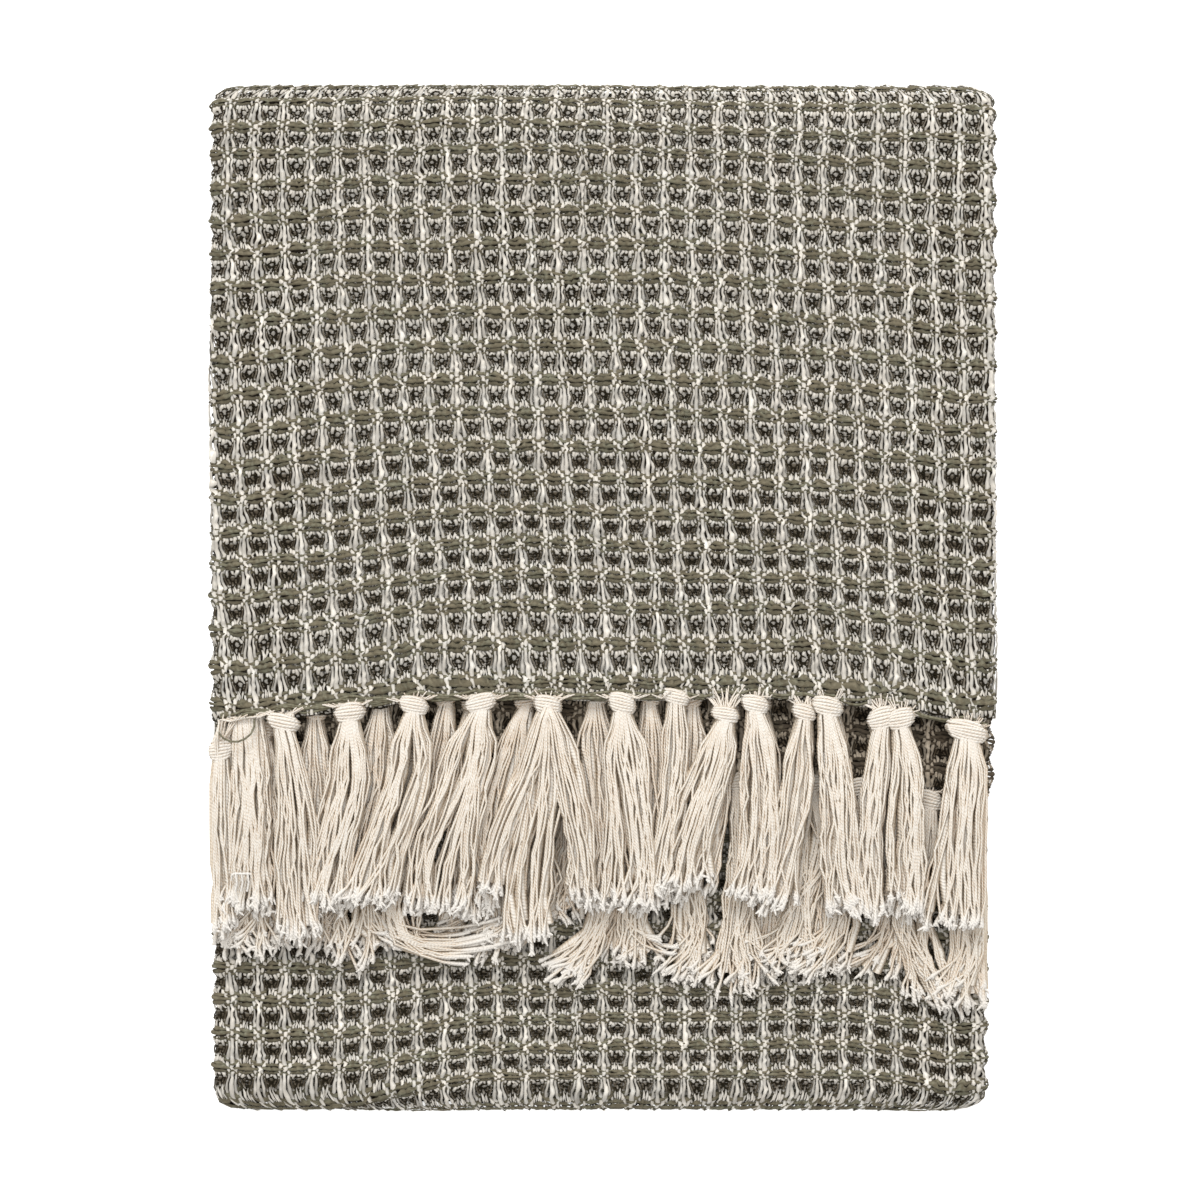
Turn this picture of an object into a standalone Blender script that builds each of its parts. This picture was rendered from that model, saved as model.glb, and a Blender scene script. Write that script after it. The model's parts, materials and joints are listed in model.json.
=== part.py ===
"""Waffle weave cotton blanket, folded flat, with a knotted fringe on both of its ends.

The blanket is one woven sheet. Its width is folded in three, so that the middle third lies outside
and the two side thirds are tucked behind it. Its length is then folded in half, and the two fringed
ends are brought back together over the top, so the stack has four layers of three plies. The fringe
of the upper end lies over the fringe of the lower end, and both hang towards -Y.

Metres, +Z up. The stack lies on z = 0 and its box is centred on x = 0, y = 0.
"""

import math
import random
from collections import namedtuple

import bmesh
import bpy
import numpy as np

# The folded stack
FOLDED_WIDTH = 0.424
FOLDED_DEPTH = 0.550
CORNER_RADIUS = 0.011

# The woven sheet, and how its plies and layers lie on each other
PLY_THICKNESS = 0.0034
PLY_PITCH = 0.0039
LAYER_GAP = 0.0009
STRIP_THICKNESS = 2 * PLY_PITCH + PLY_THICKNESS
LAYER_PITCH = STRIP_THICKNESS + LAYER_GAP
TUCK_FROM_LEFT = 0.006
TUCK_FROM_RIGHT = 0.002

# Heights of the four layers' middles, and the turns that join them
BOTTOM_LAYER_Z = STRIP_THICKNESS / 2
PANEL_LAYER_Z = BOTTOM_LAYER_Z + LAYER_PITCH
LOWER_END_Z = PANEL_LAYER_Z + LAYER_PITCH
UPPER_END_Z = LOWER_END_Z + LAYER_PITCH
INNER_TURN = LAYER_PITCH / 2
OUTER_TURN = 3 * LAYER_PITCH / 2
TOP_TURN_Y = FOLDED_DEPTH / 2 - OUTER_TURN - STRIP_THICKNESS / 2
TOP_TURN_Z = (PANEL_LAYER_Z + LOWER_END_Z) / 2
BOTTOM_TURN_Y = -FOLDED_DEPTH / 2 + INNER_TURN + STRIP_THICKNESS / 2
BOTTOM_TURN_Z = (BOTTOM_LAYER_Z + PANEL_LAYER_Z) / 2

# Where the side folds turn, seen from above
LEFT_TURN = PLY_PITCH / 2
RIGHT_TURN = PLY_PITCH
LEFT_TURN_X = -FOLDED_WIDTH / 2 + LEFT_TURN + PLY_THICKNESS / 2
RIGHT_TURN_X = FOLDED_WIDTH / 2 - RIGHT_TURN - PLY_THICKNESS / 2

# The woven ends' edges: the upper one droops at its corners, the lower one lies a little askew
UPPER_EDGE_Y = -0.0508
EdgeDroop = namedtuple("EdgeDroop", "x droop")
UPPER_EDGE_DROOP = (
    EdgeDroop(-0.212, 0.0145),
    EdgeDroop(-0.186, 0.0097),
    EdgeDroop(-0.142, 0.0043),
    EdgeDroop(-0.095, 0.0005),
    EdgeDroop(0.000, 0.0000),
    EdgeDroop(0.095, 0.0005),
    EdgeDroop(0.150, 0.0043),
    EdgeDroop(0.186, 0.0145),
    EdgeDroop(0.212, 0.0172),
)
LOWER_EDGE_Y = -0.0894
LOWER_EDGE_SLOPE = -0.0746

# How the stack settles: lower towards its folded sides, with a slow unevenness on top
CROWN = 0.12
CROWN_REACH = 0.026
UNEVENNESS = 0.028

# The fringe: a strip of the edge carries the knots, and each tassel hangs from one knot
EDGE_GAP = 0.0006
BACKING_DEPTH = 0.0040
BACKING_THICKNESS = 0.0026
KNOT_LENGTH = 0.0110
KNOT_SHOULDER = 0.0016
KNOT_BELLY = 0.0070
LOCK_GAP = 0.0014
LOCK_STAGGER = 0.0025
TASSEL_LENGTH = 0.114

# Middle height of each row of tassels on its way from its knots to its ends
RowLevel = namedtuple("RowLevel", "y lower_back lower_front upper_back upper_front")
ROW_LEVELS = (
    RowLevel(-0.050, 0.0272, 0.0340, 0.0409, 0.0488),
    RowLevel(-0.085, 0.0272, 0.0340, 0.0409, 0.0486),
    RowLevel(-0.118, 0.0272, 0.0338, 0.0402, 0.0470),
    RowLevel(-0.142, 0.0263, 0.0312, 0.0366, 0.0425),
    RowLevel(-0.170, 0.0256, 0.0292, 0.0334, 0.0385),
    RowLevel(-0.200, 0.0250, 0.0282, 0.0315, 0.0352),
    RowLevel(-0.235, 0.0248, 0.0279, 0.0308, 0.0345),
)

# Half thicknesses of each row's knots and locks
RowBulk = namedtuple("RowBulk", "knot lock")
ROW_BULK = {
    "lower_back": RowBulk(0.0030, 0.0017),
    "lower_front": RowBulk(0.0032, 0.0016),
    "upper_back": RowBulk(0.0032, 0.0018),
    "upper_front": RowBulk(0.0043, 0.0022),
}

# The tassels that lie in front: knot and ends as seen from above
Tassel = namedtuple("Tassel", "ply row root_x knot_width locks tip_x tip_y tip_width")
FRONT_TASSELS = (
    # root_x, knot_width, locks, tip_x, tip_y, tip_width
    (-0.1970, 0.0165, 3, -0.1950, -0.165, 0.024),
    (-0.1733, 0.0175, 3, -0.1715, -0.184, 0.017),
    (-0.1380, 0.0170, 3, -0.1500, -0.165, 0.023),
    (-0.1030, 0.0160, 3, -0.1265, -0.165, 0.022),
    (-0.0670, 0.0170, 4, -0.0955, -0.169, 0.036),
    (-0.0310, 0.0150, 5, -0.0445, -0.182, 0.056),
    (0.0090, 0.0150, 4, 0.0110, -0.168, 0.028),
    (0.0380, 0.0145, 2, 0.0315, -0.160, 0.010),
    (0.0625, 0.0140, 3, 0.0475, -0.158, 0.020),
    (0.0810, 0.0150, 3, 0.0765, -0.167, 0.024),
    (0.1055, 0.0130, 2, 0.0990, -0.169, 0.017),
    (0.1215, 0.0150, 3, 0.1255, -0.172, 0.024),
    (0.1530, 0.0230, 4, 0.1550, -0.172, 0.032),
    (0.1930, 0.0200, 3, 0.1885, -0.180, 0.026),
)

# The rows that show only between them are evenly spaced
TASSEL_PITCH = 0.0345
FIRST_UNDER_X = -0.1985
UNDER_COUNT = 12
INNER_COUNT = 11
BACK_KNOT_WIDTH = 0.0125
BACK_TIP_WIDTH = 0.0150
BACK_LOCKS = 2
WIDE_KNOT_WIDTH = 0.0165
WIDE_TIP_WIDTH = 0.0280
WIDE_LOCKS = 3
BACK_SWAY = 0.004
TIP_JITTER = 0.006
ROOT_JITTER = 0.0008
JITTER_SEED = 11

# Mesh density
SIDE_TURN_STEPS = 4
END_RUN_STEPS = 5
LONG_RUN_STEPS = 6
OUTER_TURN_STEPS = 8
INNER_TURN_STEPS = 4

# Colours and finish, as Blender's linear values
CLOTH_COLOR = (0.250, 0.232, 0.190, 1.0)
FRINGE_COLOR = (0.660, 0.585, 0.510, 1.0)
COTTON_ROUGHNESS = 0.92


def edge_y(x, end):
    """Y of a woven end's edge at x, for the upper or the lower end."""
    if end == "lower":
        return LOWER_EDGE_Y + LOWER_EDGE_SLOPE * x
    places = [row.x for row in UPPER_EDGE_DROOP]
    droops = [row.droop for row in UPPER_EDGE_DROOP]
    return UPPER_EDGE_Y - float(np.interp(x, places, droops))


def row_level(row, y):
    """Middle height of a row of tassels at y."""
    places = [-level.y for level in ROW_LEVELS]
    values = [getattr(level, row) for level in ROW_LEVELS]
    return float(np.interp(-y, places, values))


def smooth(value):
    value = min(max(value, 0.0), 1.0)
    return value * value * (3 - 2 * value)


def unevenness(x, y):
    """Slow waves over the stack, from -1 to 1."""
    across = math.sin(23 * x + 9 * y + 0.6)
    along = math.sin(17 * y - 12 * x + 2.1)
    small = math.sin(41 * x + 31 * y + 4.0)
    return 0.40 * across + 0.36 * along + 0.24 * small


def settle(point):
    """Rounds the stack's corners seen from above, and lets its sides and top settle."""
    x, y, z = point
    to_fold = FOLDED_DEPTH / 2 - abs(y)
    inside = max(CORNER_RADIUS - to_fold, 0.0)
    inside = min(inside, CORNER_RADIUS)
    drawn_in = CORNER_RADIUS - math.sqrt(CORNER_RADIUS**2 - inside**2)
    to_side = FOLDED_WIDTH / 2 - abs(x)
    crown = 1 - smooth(to_side / CROWN_REACH)
    x = x * (1 - drawn_in / (FOLDED_WIDTH / 2))
    z = z * (1 - CROWN * crown) * (1 + UNEVENNESS * unevenness(x, y))
    return x, y, z


# The width's fold. A station is x, the height h above the strip's middle, and the ply's normal.
Station = namedtuple("Station", "x h normal_x normal_h")
PLY_HEIGHT = {"inner": 0.0, "outer": PLY_PITCH, "under": -PLY_PITCH}
PLY_NORMAL = {"inner": -1.0, "outer": 1.0, "under": -1.0}
PLY_ENDS = {
    "inner": (RIGHT_TURN_X - TUCK_FROM_RIGHT, LEFT_TURN_X),
    "outer": (LEFT_TURN_X, RIGHT_TURN_X),
    "under": (RIGHT_TURN_X, -FOLDED_WIDTH / 2 + TUCK_FROM_LEFT),
}


def ply_places(ply, more=()):
    """X of a third's stations in the order in which the sheet runs: its ends, and those within."""
    first, last = PLY_ENDS[ply]
    low, high = min(first, last), max(first, last)
    places = [row.x for row in UPPER_EDGE_DROOP if low < row.x < high]
    return sorted([first, last, *places, *more], reverse=first > last)


def ply_run(ply, places):
    """Stations along one third of the width, in the order in which the sheet runs."""
    return [Station(x, PLY_HEIGHT[ply], 0.0, PLY_NORMAL[ply]) for x in places]


def side_turn(centre_x, centre_h, radius, first_angle, last_angle):
    """Stations between a side fold's two ends, which the runs beside it already hold."""
    stations = []
    for angle in np.linspace(first_angle, last_angle, SIDE_TURN_STEPS + 1)[1:-1]:
        out_x = math.cos(angle)
        out_h = math.sin(angle)
        stations.append(Station(centre_x + radius * out_x, centre_h + radius * out_h, out_x, out_h))
    return stations


def width_fold(inner_places, outer_places, under_places):
    """The whole width: inner third, left fold, outer third, right fold, under third."""
    left = side_turn(LEFT_TURN_X, PLY_PITCH / 2, LEFT_TURN, 1.5 * math.pi, 0.5 * math.pi)
    right = side_turn(RIGHT_TURN_X, 0.0, RIGHT_TURN, 0.5 * math.pi, -0.5 * math.pi)
    return [
        *ply_run("inner", inner_places),
        *left,
        *ply_run("outer", outer_places),
        *right,
        *ply_run("under", under_places),
    ]


def ring_points(stations, place, thickness):
    """Both faces' points of one ring. place gives y, z and the strip's normal for a station's x."""
    ring = []
    for station in stations:
        pair = []
        for side in (1, -1):
            x = station.x + side * station.normal_x * thickness / 2
            h = station.h + side * station.normal_h * thickness / 2
            y, z, up_y, up_z = place(x)
            pair.append((x, y + up_y * h, z + up_z * h))
        ring.append(pair)
    return ring


def end_place(end, share):
    """A place on an end's layer: share 0 is its woven edge, 1 its turn at the top."""
    z = UPPER_END_Z if end == "upper" else LOWER_END_Z
    up = 1.0 if end == "upper" else -1.0

    def place(x):
        y = edge_y(x, end) * (1 - share) + TOP_TURN_Y * share
        return y, z, 0.0, up

    return place


def turn_place(centre_y, centre_z, radius, angle, outward):
    """A place on a turn across the length. outward is 1 where the outer third faces out."""
    y = math.cos(angle)
    z = math.sin(angle)

    def place(x):
        return centre_y + radius * y, centre_z + radius * z, outward * y, outward * z

    return place


def flat_place(y, z, up):
    def place(x):
        return y, z, 0.0, up

    return place


def length_fold():
    """Places of the sheet's rings, from the upper end's edge to the lower end's edge."""
    places = [end_place("upper", share) for share in np.linspace(0, 1, END_RUN_STEPS + 1)]
    for angle in np.linspace(0.5 * math.pi, -0.5 * math.pi, OUTER_TURN_STEPS + 1)[1:-1]:
        places.append(turn_place(TOP_TURN_Y, TOP_TURN_Z, OUTER_TURN, angle, 1.0))
    for y in np.linspace(TOP_TURN_Y, BOTTOM_TURN_Y, LONG_RUN_STEPS + 1):
        places.append(flat_place(y, BOTTOM_LAYER_Z, -1.0))
    for angle in np.linspace(1.5 * math.pi, 0.5 * math.pi, INNER_TURN_STEPS + 1)[1:-1]:
        places.append(turn_place(BOTTOM_TURN_Y, BOTTOM_TURN_Z, INNER_TURN, angle, 1.0))
    for y in np.linspace(BOTTOM_TURN_Y, TOP_TURN_Y, LONG_RUN_STEPS + 1):
        places.append(flat_place(y, PANEL_LAYER_Z, 1.0))
    for angle in np.linspace(-0.5 * math.pi, 0.5 * math.pi, INNER_TURN_STEPS + 1)[1:-1]:
        places.append(turn_place(TOP_TURN_Y, TOP_TURN_Z, INNER_TURN, angle, -1.0))
    places += [end_place("lower", share) for share in np.linspace(1, 0, END_RUN_STEPS + 1)]
    return places


def new_vertices(bm, ring):
    return [[bm.verts.new(settle(point)) for point in pair] for pair in ring]


def skin_between(bm, near, far):
    """The faces between two rings of a band: both sides, and the band's two borders."""
    last = len(near) - 1
    for k in range(last):
        for side in (0, 1):
            corners = near[k][side], near[k + 1][side], far[k + 1][side], far[k][side]
            bm.faces.new(corners)
    for k in (0, last):
        bm.faces.new((near[k][0], near[k][1], far[k][1], far[k][0]))


def close_ring(bm, ring, spans):
    """Closes a band's cut end with one face for each span between stations."""
    for k in spans:
        bm.faces.new((ring[k][0], ring[k + 1][0], ring[k + 1][1], ring[k][1]))


def finish_object(name, bm, material):
    bmesh.ops.recalc_face_normals(bm, faces=bm.faces)
    mesh = bpy.data.meshes.new(name)
    bm.to_mesh(mesh)
    bm.free()
    mesh.shade_smooth()
    mesh.set_sharp_from_angle(angle=math.radians(40))
    mesh.materials.append(material)
    obj = bpy.data.objects.new(name, mesh)
    bpy.context.scene.collection.objects.link(obj)
    return obj


def cotton(name, color):
    material = bpy.data.materials.new(name)
    material.use_nodes = True
    shader = material.node_tree.nodes["Principled BSDF"]
    shader.inputs["Base Color"].default_value = color
    shader.inputs["Roughness"].default_value = COTTON_ROUGHNESS
    shader.inputs["Metallic"].default_value = 0.0
    return material


def make_cloth():
    """The woven sheet in its folds, as one solid."""
    stations = width_fold(*(ply_places(ply) for ply in PLY_ENDS))
    bm = bmesh.new()
    rings = [
        new_vertices(bm, ring_points(stations, place, PLY_THICKNESS)) for place in length_fold()
    ]
    for near, far in zip(rings, rings[1:]):
        skin_between(bm, near, far)
    for ring in (rings[0], rings[-1]):
        close_ring(bm, ring, range(len(stations) - 1))
    finish_object("blanket_cloth", bm, cotton("waffle_cotton", CLOTH_COLOR))


def even_row(ply, row, count, first_x, end, wide, rng):
    """Evenly spaced tassels with a little unevenness, each falling almost straight down."""
    tassels = []
    for i in range(count):
        root_x = first_x + i * TASSEL_PITCH + rng.uniform(-ROOT_JITTER, ROOT_JITTER)
        sway = BACK_SWAY * math.sin(15 * root_x + 1.3)
        tip_y = edge_y(root_x, end) - TASSEL_LENGTH + rng.uniform(-TIP_JITTER, TIP_JITTER)
        tassels.append(
            Tassel(
                ply,
                row,
                root_x,
                WIDE_KNOT_WIDTH if wide else BACK_KNOT_WIDTH,
                WIDE_LOCKS if wide else BACK_LOCKS,
                root_x + sway,
                tip_y,
                WIDE_TIP_WIDTH if wide else BACK_TIP_WIDTH,
            )
        )
    return tassels


def upper_tassels(rng):
    front = [Tassel("outer", "upper_front", *row) for row in FRONT_TASSELS]
    under = even_row("under", "upper_back", UNDER_COUNT, FIRST_UNDER_X, "upper", False, rng)
    inner_x = FIRST_UNDER_X + TASSEL_PITCH / 2
    inner = even_row("inner", "upper_back", INNER_COUNT, inner_x, "upper", False, rng)
    return [*front, *under, *inner]


def lower_tassels(rng):
    front = even_row("under", "lower_front", UNDER_COUNT, FIRST_UNDER_X + 0.009, "lower", True, rng)
    outer = even_row("outer", "lower_back", UNDER_COUNT, FIRST_UNDER_X, "lower", False, rng)
    inner_x = FIRST_UNDER_X + TASSEL_PITCH / 2
    inner = even_row("inner", "lower_back", INNER_COUNT, inner_x, "lower", False, rng)
    return [*front, *outer, *inner]


def knot_ring(tassel, up, middle_y, slope, half_width, half_thickness):
    """One ring of a knot: columns across it, thinner towards its two sides."""
    z = row_level(tassel.row, middle_y)
    ring = []
    for across in np.linspace(-1, 1, tassel.locks + 1):
        thick = half_thickness * math.sqrt(1 - 0.72 * across**2)
        x = tassel.root_x + across * half_width
        y = middle_y + across * half_width * slope
        ring.append([(x, y, z + up * thick), (x, y, z - up * thick)])
    return ring


def lock_rings(tassel, up, index, waist_y, waist_half):
    """The rings of one lock, from just past the knot to its cut end."""
    bulk = ROW_BULK[tassel.row].lock
    middle = (index + 0.5) / tassel.locks * 2 - 1
    stagger = LOCK_STAGGER * math.sin(2.4 * index + 40 * tassel.root_x)
    rings = []
    for share, thin in ((0.22, 1.0), (0.60, 1.0), (1.0, 0.75)):
        y = waist_y + (tassel.tip_y + stagger - waist_y) * share
        half = waist_half + (tassel.tip_width / 2 - waist_half) * share
        centre = tassel.root_x + (tassel.tip_x - tassel.root_x) * share + middle * half
        half_lock = half / tassel.locks - LOCK_GAP / 2
        z = row_level(tassel.row, y)
        left, right = centre - half_lock, centre + half_lock
        top, low = z + up * bulk * thin, z - up * bulk * thin
        rings.append([(left, y, top), (right, y, top), (right, y, low), (left, y, low)])
    return rings


def grow_tassel(bm, tassel, root, root_y, up):
    """A knot on the backing's open face, and the locks that hang from it."""
    bulk = ROW_BULK[tassel.row].knot
    half = tassel.knot_width / 2
    waist_half = 0.66 * half
    waist_y = root_y - KNOT_LENGTH
    edge_slope = (root[-1][0].co.y - root[0][0].co.y) / (root[-1][0].co.x - root[0][0].co.x)
    rings = (
        knot_ring(tassel, up, root_y - KNOT_SHOULDER, edge_slope, 0.90 * half, 0.80 * bulk),
        knot_ring(tassel, up, root_y - KNOT_BELLY, 0.6 * edge_slope, half, bulk),
        knot_ring(tassel, up, waist_y, 0.2 * edge_slope, waist_half, 0.55 * bulk),
    )
    columns = root
    for ring in rings:
        if columns[0][0].co.x > columns[-1][0].co.x:
            ring = ring[::-1]
        grown = new_vertices(bm, ring)
        skin_between(bm, columns, grown)
        columns = grown
    if columns[0][0].co.x > columns[-1][0].co.x:
        columns = columns[::-1]
    for index in range(tassel.locks):
        near, far = columns[index], columns[index + 1]
        previous = [near[0], far[0], far[1], near[1]]
        for ring in lock_rings(tassel, up, index, waist_y, waist_half):
            grown = [bm.verts.new(settle(point)) for point in ring]
            for k in range(4):
                after = (k + 1) % 4
                bm.faces.new((previous[k], previous[after], grown[after], grown[k]))
            previous = grown
        bm.faces.new(previous)


def root_places(tassel):
    """Where a tassel's columns leave the backing."""
    half = 0.40 * tassel.knot_width
    return [tassel.root_x + across * half for across in np.linspace(-1, 1, tassel.locks + 1)]


def make_fringe(name, end, tassels):
    """The fringe of one end: a folded strip of the edge, with a knot for every tassel."""
    layer_up = 1.0 if end == "upper" else -1.0
    layer_z = UPPER_END_Z if end == "upper" else LOWER_END_Z
    places = {}
    for ply in PLY_ENDS:
        roots = [root_places(tassel) for tassel in tassels if tassel.ply == ply]
        found = ply_places(ply, [x for root in roots for x in root])
        hidden = {x for x in found for root in roots if root[0] < x < root[-1] and x not in root}
        places[ply] = [x for x in found if x not in hidden]
    stations = width_fold(places["inner"], places["outer"], places["under"])
    turns = SIDE_TURN_STEPS - 1
    first_station = {
        "inner": 0,
        "outer": len(places["inner"]) + turns,
        "under": len(places["inner"]) + len(places["outer"]) + 2 * turns,
    }

    def strip_place(depth):
        return lambda x: (edge_y(x, end) - EDGE_GAP - depth, layer_z, 0.0, layer_up)

    bm = bmesh.new()
    near, far = (
        new_vertices(bm, ring_points(stations, strip_place(depth), BACKING_THICKNESS))
        for depth in (0.0, BACKING_DEPTH)
    )
    skin_between(bm, near, far)
    close_ring(bm, near, range(len(stations) - 1))
    taken = set()
    for tassel in tassels:
        columns = [
            first_station[tassel.ply] + places[tassel.ply].index(x) for x in root_places(tassel)
        ]
        start = min(columns)
        taken.update(range(start, start + tassel.locks))
        root = far[start : start + tassel.locks + 1]
        root_y = edge_y(tassel.root_x, end) - EDGE_GAP - BACKING_DEPTH
        grow_tassel(bm, tassel, root, root_y, layer_up * PLY_NORMAL[tassel.ply])
    close_ring(bm, far, [k for k in range(len(stations) - 1) if k not in taken])
    finish_object(name, bm, cotton(f"{name}_cotton", FRINGE_COLOR))


def main():
    for obj in list(bpy.data.objects):
        bpy.data.objects.remove(obj, do_unlink=True)
    rng = random.Random(JITTER_SEED)
    make_cloth()
    make_fringe("fringe_upper", "upper", upper_tassels(rng))
    make_fringe("fringe_lower", "lower", lower_tassels(rng))


main()
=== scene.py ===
"""Looks of a folded waffle weave blanket: yarn by yarn where it shows, with a knotted fringe."""

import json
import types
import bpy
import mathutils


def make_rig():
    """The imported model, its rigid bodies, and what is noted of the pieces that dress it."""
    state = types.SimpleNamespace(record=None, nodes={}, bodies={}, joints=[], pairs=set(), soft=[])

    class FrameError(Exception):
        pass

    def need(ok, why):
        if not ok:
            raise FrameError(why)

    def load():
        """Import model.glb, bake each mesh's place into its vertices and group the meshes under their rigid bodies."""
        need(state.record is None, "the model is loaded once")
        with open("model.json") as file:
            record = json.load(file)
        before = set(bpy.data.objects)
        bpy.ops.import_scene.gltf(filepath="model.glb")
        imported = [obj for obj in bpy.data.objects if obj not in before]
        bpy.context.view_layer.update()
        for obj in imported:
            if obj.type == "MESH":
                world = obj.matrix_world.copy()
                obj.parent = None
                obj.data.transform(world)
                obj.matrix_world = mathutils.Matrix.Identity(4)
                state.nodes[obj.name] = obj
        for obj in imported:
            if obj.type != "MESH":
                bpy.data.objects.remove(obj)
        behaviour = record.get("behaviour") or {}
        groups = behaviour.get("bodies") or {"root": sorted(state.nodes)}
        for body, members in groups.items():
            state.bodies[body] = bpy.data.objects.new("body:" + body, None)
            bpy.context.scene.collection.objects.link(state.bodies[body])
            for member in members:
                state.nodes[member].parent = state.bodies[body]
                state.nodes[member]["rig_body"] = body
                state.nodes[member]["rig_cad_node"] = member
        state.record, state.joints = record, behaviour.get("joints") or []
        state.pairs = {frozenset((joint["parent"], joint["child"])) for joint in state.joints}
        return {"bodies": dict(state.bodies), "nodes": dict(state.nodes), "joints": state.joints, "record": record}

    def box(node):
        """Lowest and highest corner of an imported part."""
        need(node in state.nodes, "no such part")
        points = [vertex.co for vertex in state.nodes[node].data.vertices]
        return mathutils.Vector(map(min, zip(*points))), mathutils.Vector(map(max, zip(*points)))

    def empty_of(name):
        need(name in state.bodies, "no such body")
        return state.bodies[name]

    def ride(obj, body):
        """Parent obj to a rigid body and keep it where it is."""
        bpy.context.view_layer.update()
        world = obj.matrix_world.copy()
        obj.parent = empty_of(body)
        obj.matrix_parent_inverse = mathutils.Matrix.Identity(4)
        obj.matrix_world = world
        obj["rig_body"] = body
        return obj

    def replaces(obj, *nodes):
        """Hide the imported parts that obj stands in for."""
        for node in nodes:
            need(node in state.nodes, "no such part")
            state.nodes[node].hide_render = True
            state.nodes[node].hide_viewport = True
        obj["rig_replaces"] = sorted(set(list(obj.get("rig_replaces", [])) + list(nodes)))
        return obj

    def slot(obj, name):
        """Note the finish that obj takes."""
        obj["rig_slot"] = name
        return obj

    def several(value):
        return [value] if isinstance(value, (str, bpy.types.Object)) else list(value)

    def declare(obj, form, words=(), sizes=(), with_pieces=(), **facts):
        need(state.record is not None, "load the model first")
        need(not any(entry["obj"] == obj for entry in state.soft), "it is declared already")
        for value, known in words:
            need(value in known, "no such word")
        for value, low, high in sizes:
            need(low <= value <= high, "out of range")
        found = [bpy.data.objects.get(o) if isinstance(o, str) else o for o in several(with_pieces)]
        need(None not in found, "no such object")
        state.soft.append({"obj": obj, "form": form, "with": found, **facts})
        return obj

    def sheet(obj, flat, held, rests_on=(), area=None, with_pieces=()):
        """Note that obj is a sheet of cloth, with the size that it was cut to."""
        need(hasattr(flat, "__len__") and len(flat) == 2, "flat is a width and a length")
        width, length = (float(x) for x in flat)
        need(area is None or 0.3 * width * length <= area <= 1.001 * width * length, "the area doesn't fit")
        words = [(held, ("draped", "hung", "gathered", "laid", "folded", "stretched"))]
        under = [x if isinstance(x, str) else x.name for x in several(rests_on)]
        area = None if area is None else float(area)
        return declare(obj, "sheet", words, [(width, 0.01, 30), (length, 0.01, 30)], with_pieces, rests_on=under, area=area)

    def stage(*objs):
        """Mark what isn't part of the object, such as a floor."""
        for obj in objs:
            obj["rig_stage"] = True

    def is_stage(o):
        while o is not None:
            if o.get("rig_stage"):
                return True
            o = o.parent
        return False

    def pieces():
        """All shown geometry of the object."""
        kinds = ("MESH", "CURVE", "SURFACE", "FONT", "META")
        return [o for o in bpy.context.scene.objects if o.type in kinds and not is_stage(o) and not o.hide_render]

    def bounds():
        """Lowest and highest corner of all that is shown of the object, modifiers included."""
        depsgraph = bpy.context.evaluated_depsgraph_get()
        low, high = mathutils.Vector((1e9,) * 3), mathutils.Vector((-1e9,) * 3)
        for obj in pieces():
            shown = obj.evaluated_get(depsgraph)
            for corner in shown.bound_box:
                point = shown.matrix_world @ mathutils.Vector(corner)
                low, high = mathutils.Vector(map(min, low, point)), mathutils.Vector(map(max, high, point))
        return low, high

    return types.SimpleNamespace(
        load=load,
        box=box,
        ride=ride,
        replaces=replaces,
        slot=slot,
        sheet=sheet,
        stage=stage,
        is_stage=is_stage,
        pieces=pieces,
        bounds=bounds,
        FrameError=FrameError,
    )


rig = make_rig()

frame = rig.load()
cad_low, cad_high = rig.bounds()

import json
import math
from collections import namedtuple

import bmesh
import bpy
import numpy as np

# ---------------------------------------------------------------------------------------------
# The woven sheet. One panel of soft cotton, about 1.26 by 1.77 m without its fringe. Its width is
# folded in three with the middle third outside, its length in half, and its two ends are brought
# back over the top. Nothing holds the folds but the cloth's own weight.

# The folds' sizes: a strip is three plies, the stack is four layers of it, and each turn has the
# radius at which its layers lie on one another. Both ends' edges lie at a Y, the lower on a slope.
CLOTH_LOW, CLOTH_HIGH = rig.box("blanket_cloth")
FOLDED_WIDTH = CLOTH_HIGH.x - CLOTH_LOW.x
FOLDED_DEPTH = CLOTH_HIGH.y - CLOTH_LOW.y
PLY_THICKNESS = 0.0034
PLY_PITCH = 0.0039
LAYER_GAP = 0.0009
STRIP_THICKNESS = 2 * PLY_PITCH + PLY_THICKNESS
LAYER_PITCH = STRIP_THICKNESS + LAYER_GAP
BOTTOM_LAYER_Z = STRIP_THICKNESS / 2
PANEL_LAYER_Z = BOTTOM_LAYER_Z + LAYER_PITCH
LOWER_END_Z = PANEL_LAYER_Z + LAYER_PITCH
UPPER_END_Z = LOWER_END_Z + LAYER_PITCH
INNER_TURN = LAYER_PITCH / 2
OUTER_TURN = 3 * LAYER_PITCH / 2
TOP_TURN_Y = FOLDED_DEPTH / 2 - OUTER_TURN - STRIP_THICKNESS / 2
TOP_TURN_Z = (PANEL_LAYER_Z + LOWER_END_Z) / 2
BOTTOM_TURN_Y = -FOLDED_DEPTH / 2 + INNER_TURN + STRIP_THICKNESS / 2
BOTTOM_TURN_Z = (BOTTOM_LAYER_Z + PANEL_LAYER_Z) / 2
LEFT_TURN = PLY_PITCH / 2
RIGHT_TURN = PLY_PITCH
LEFT_TURN_X = -FOLDED_WIDTH / 2 + LEFT_TURN + PLY_THICKNESS / 2
RIGHT_TURN_X = FOLDED_WIDTH / 2 - RIGHT_TURN - PLY_THICKNESS / 2
INNER_EDGE_X = RIGHT_TURN_X - 0.002
UNDER_EDGE_X = -FOLDED_WIDTH / 2 + 0.006
UPPER_EDGE_Y = -0.0508
LOWER_EDGE_Y = -0.0894
LOWER_EDGE_SLOPE = -0.0746

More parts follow.
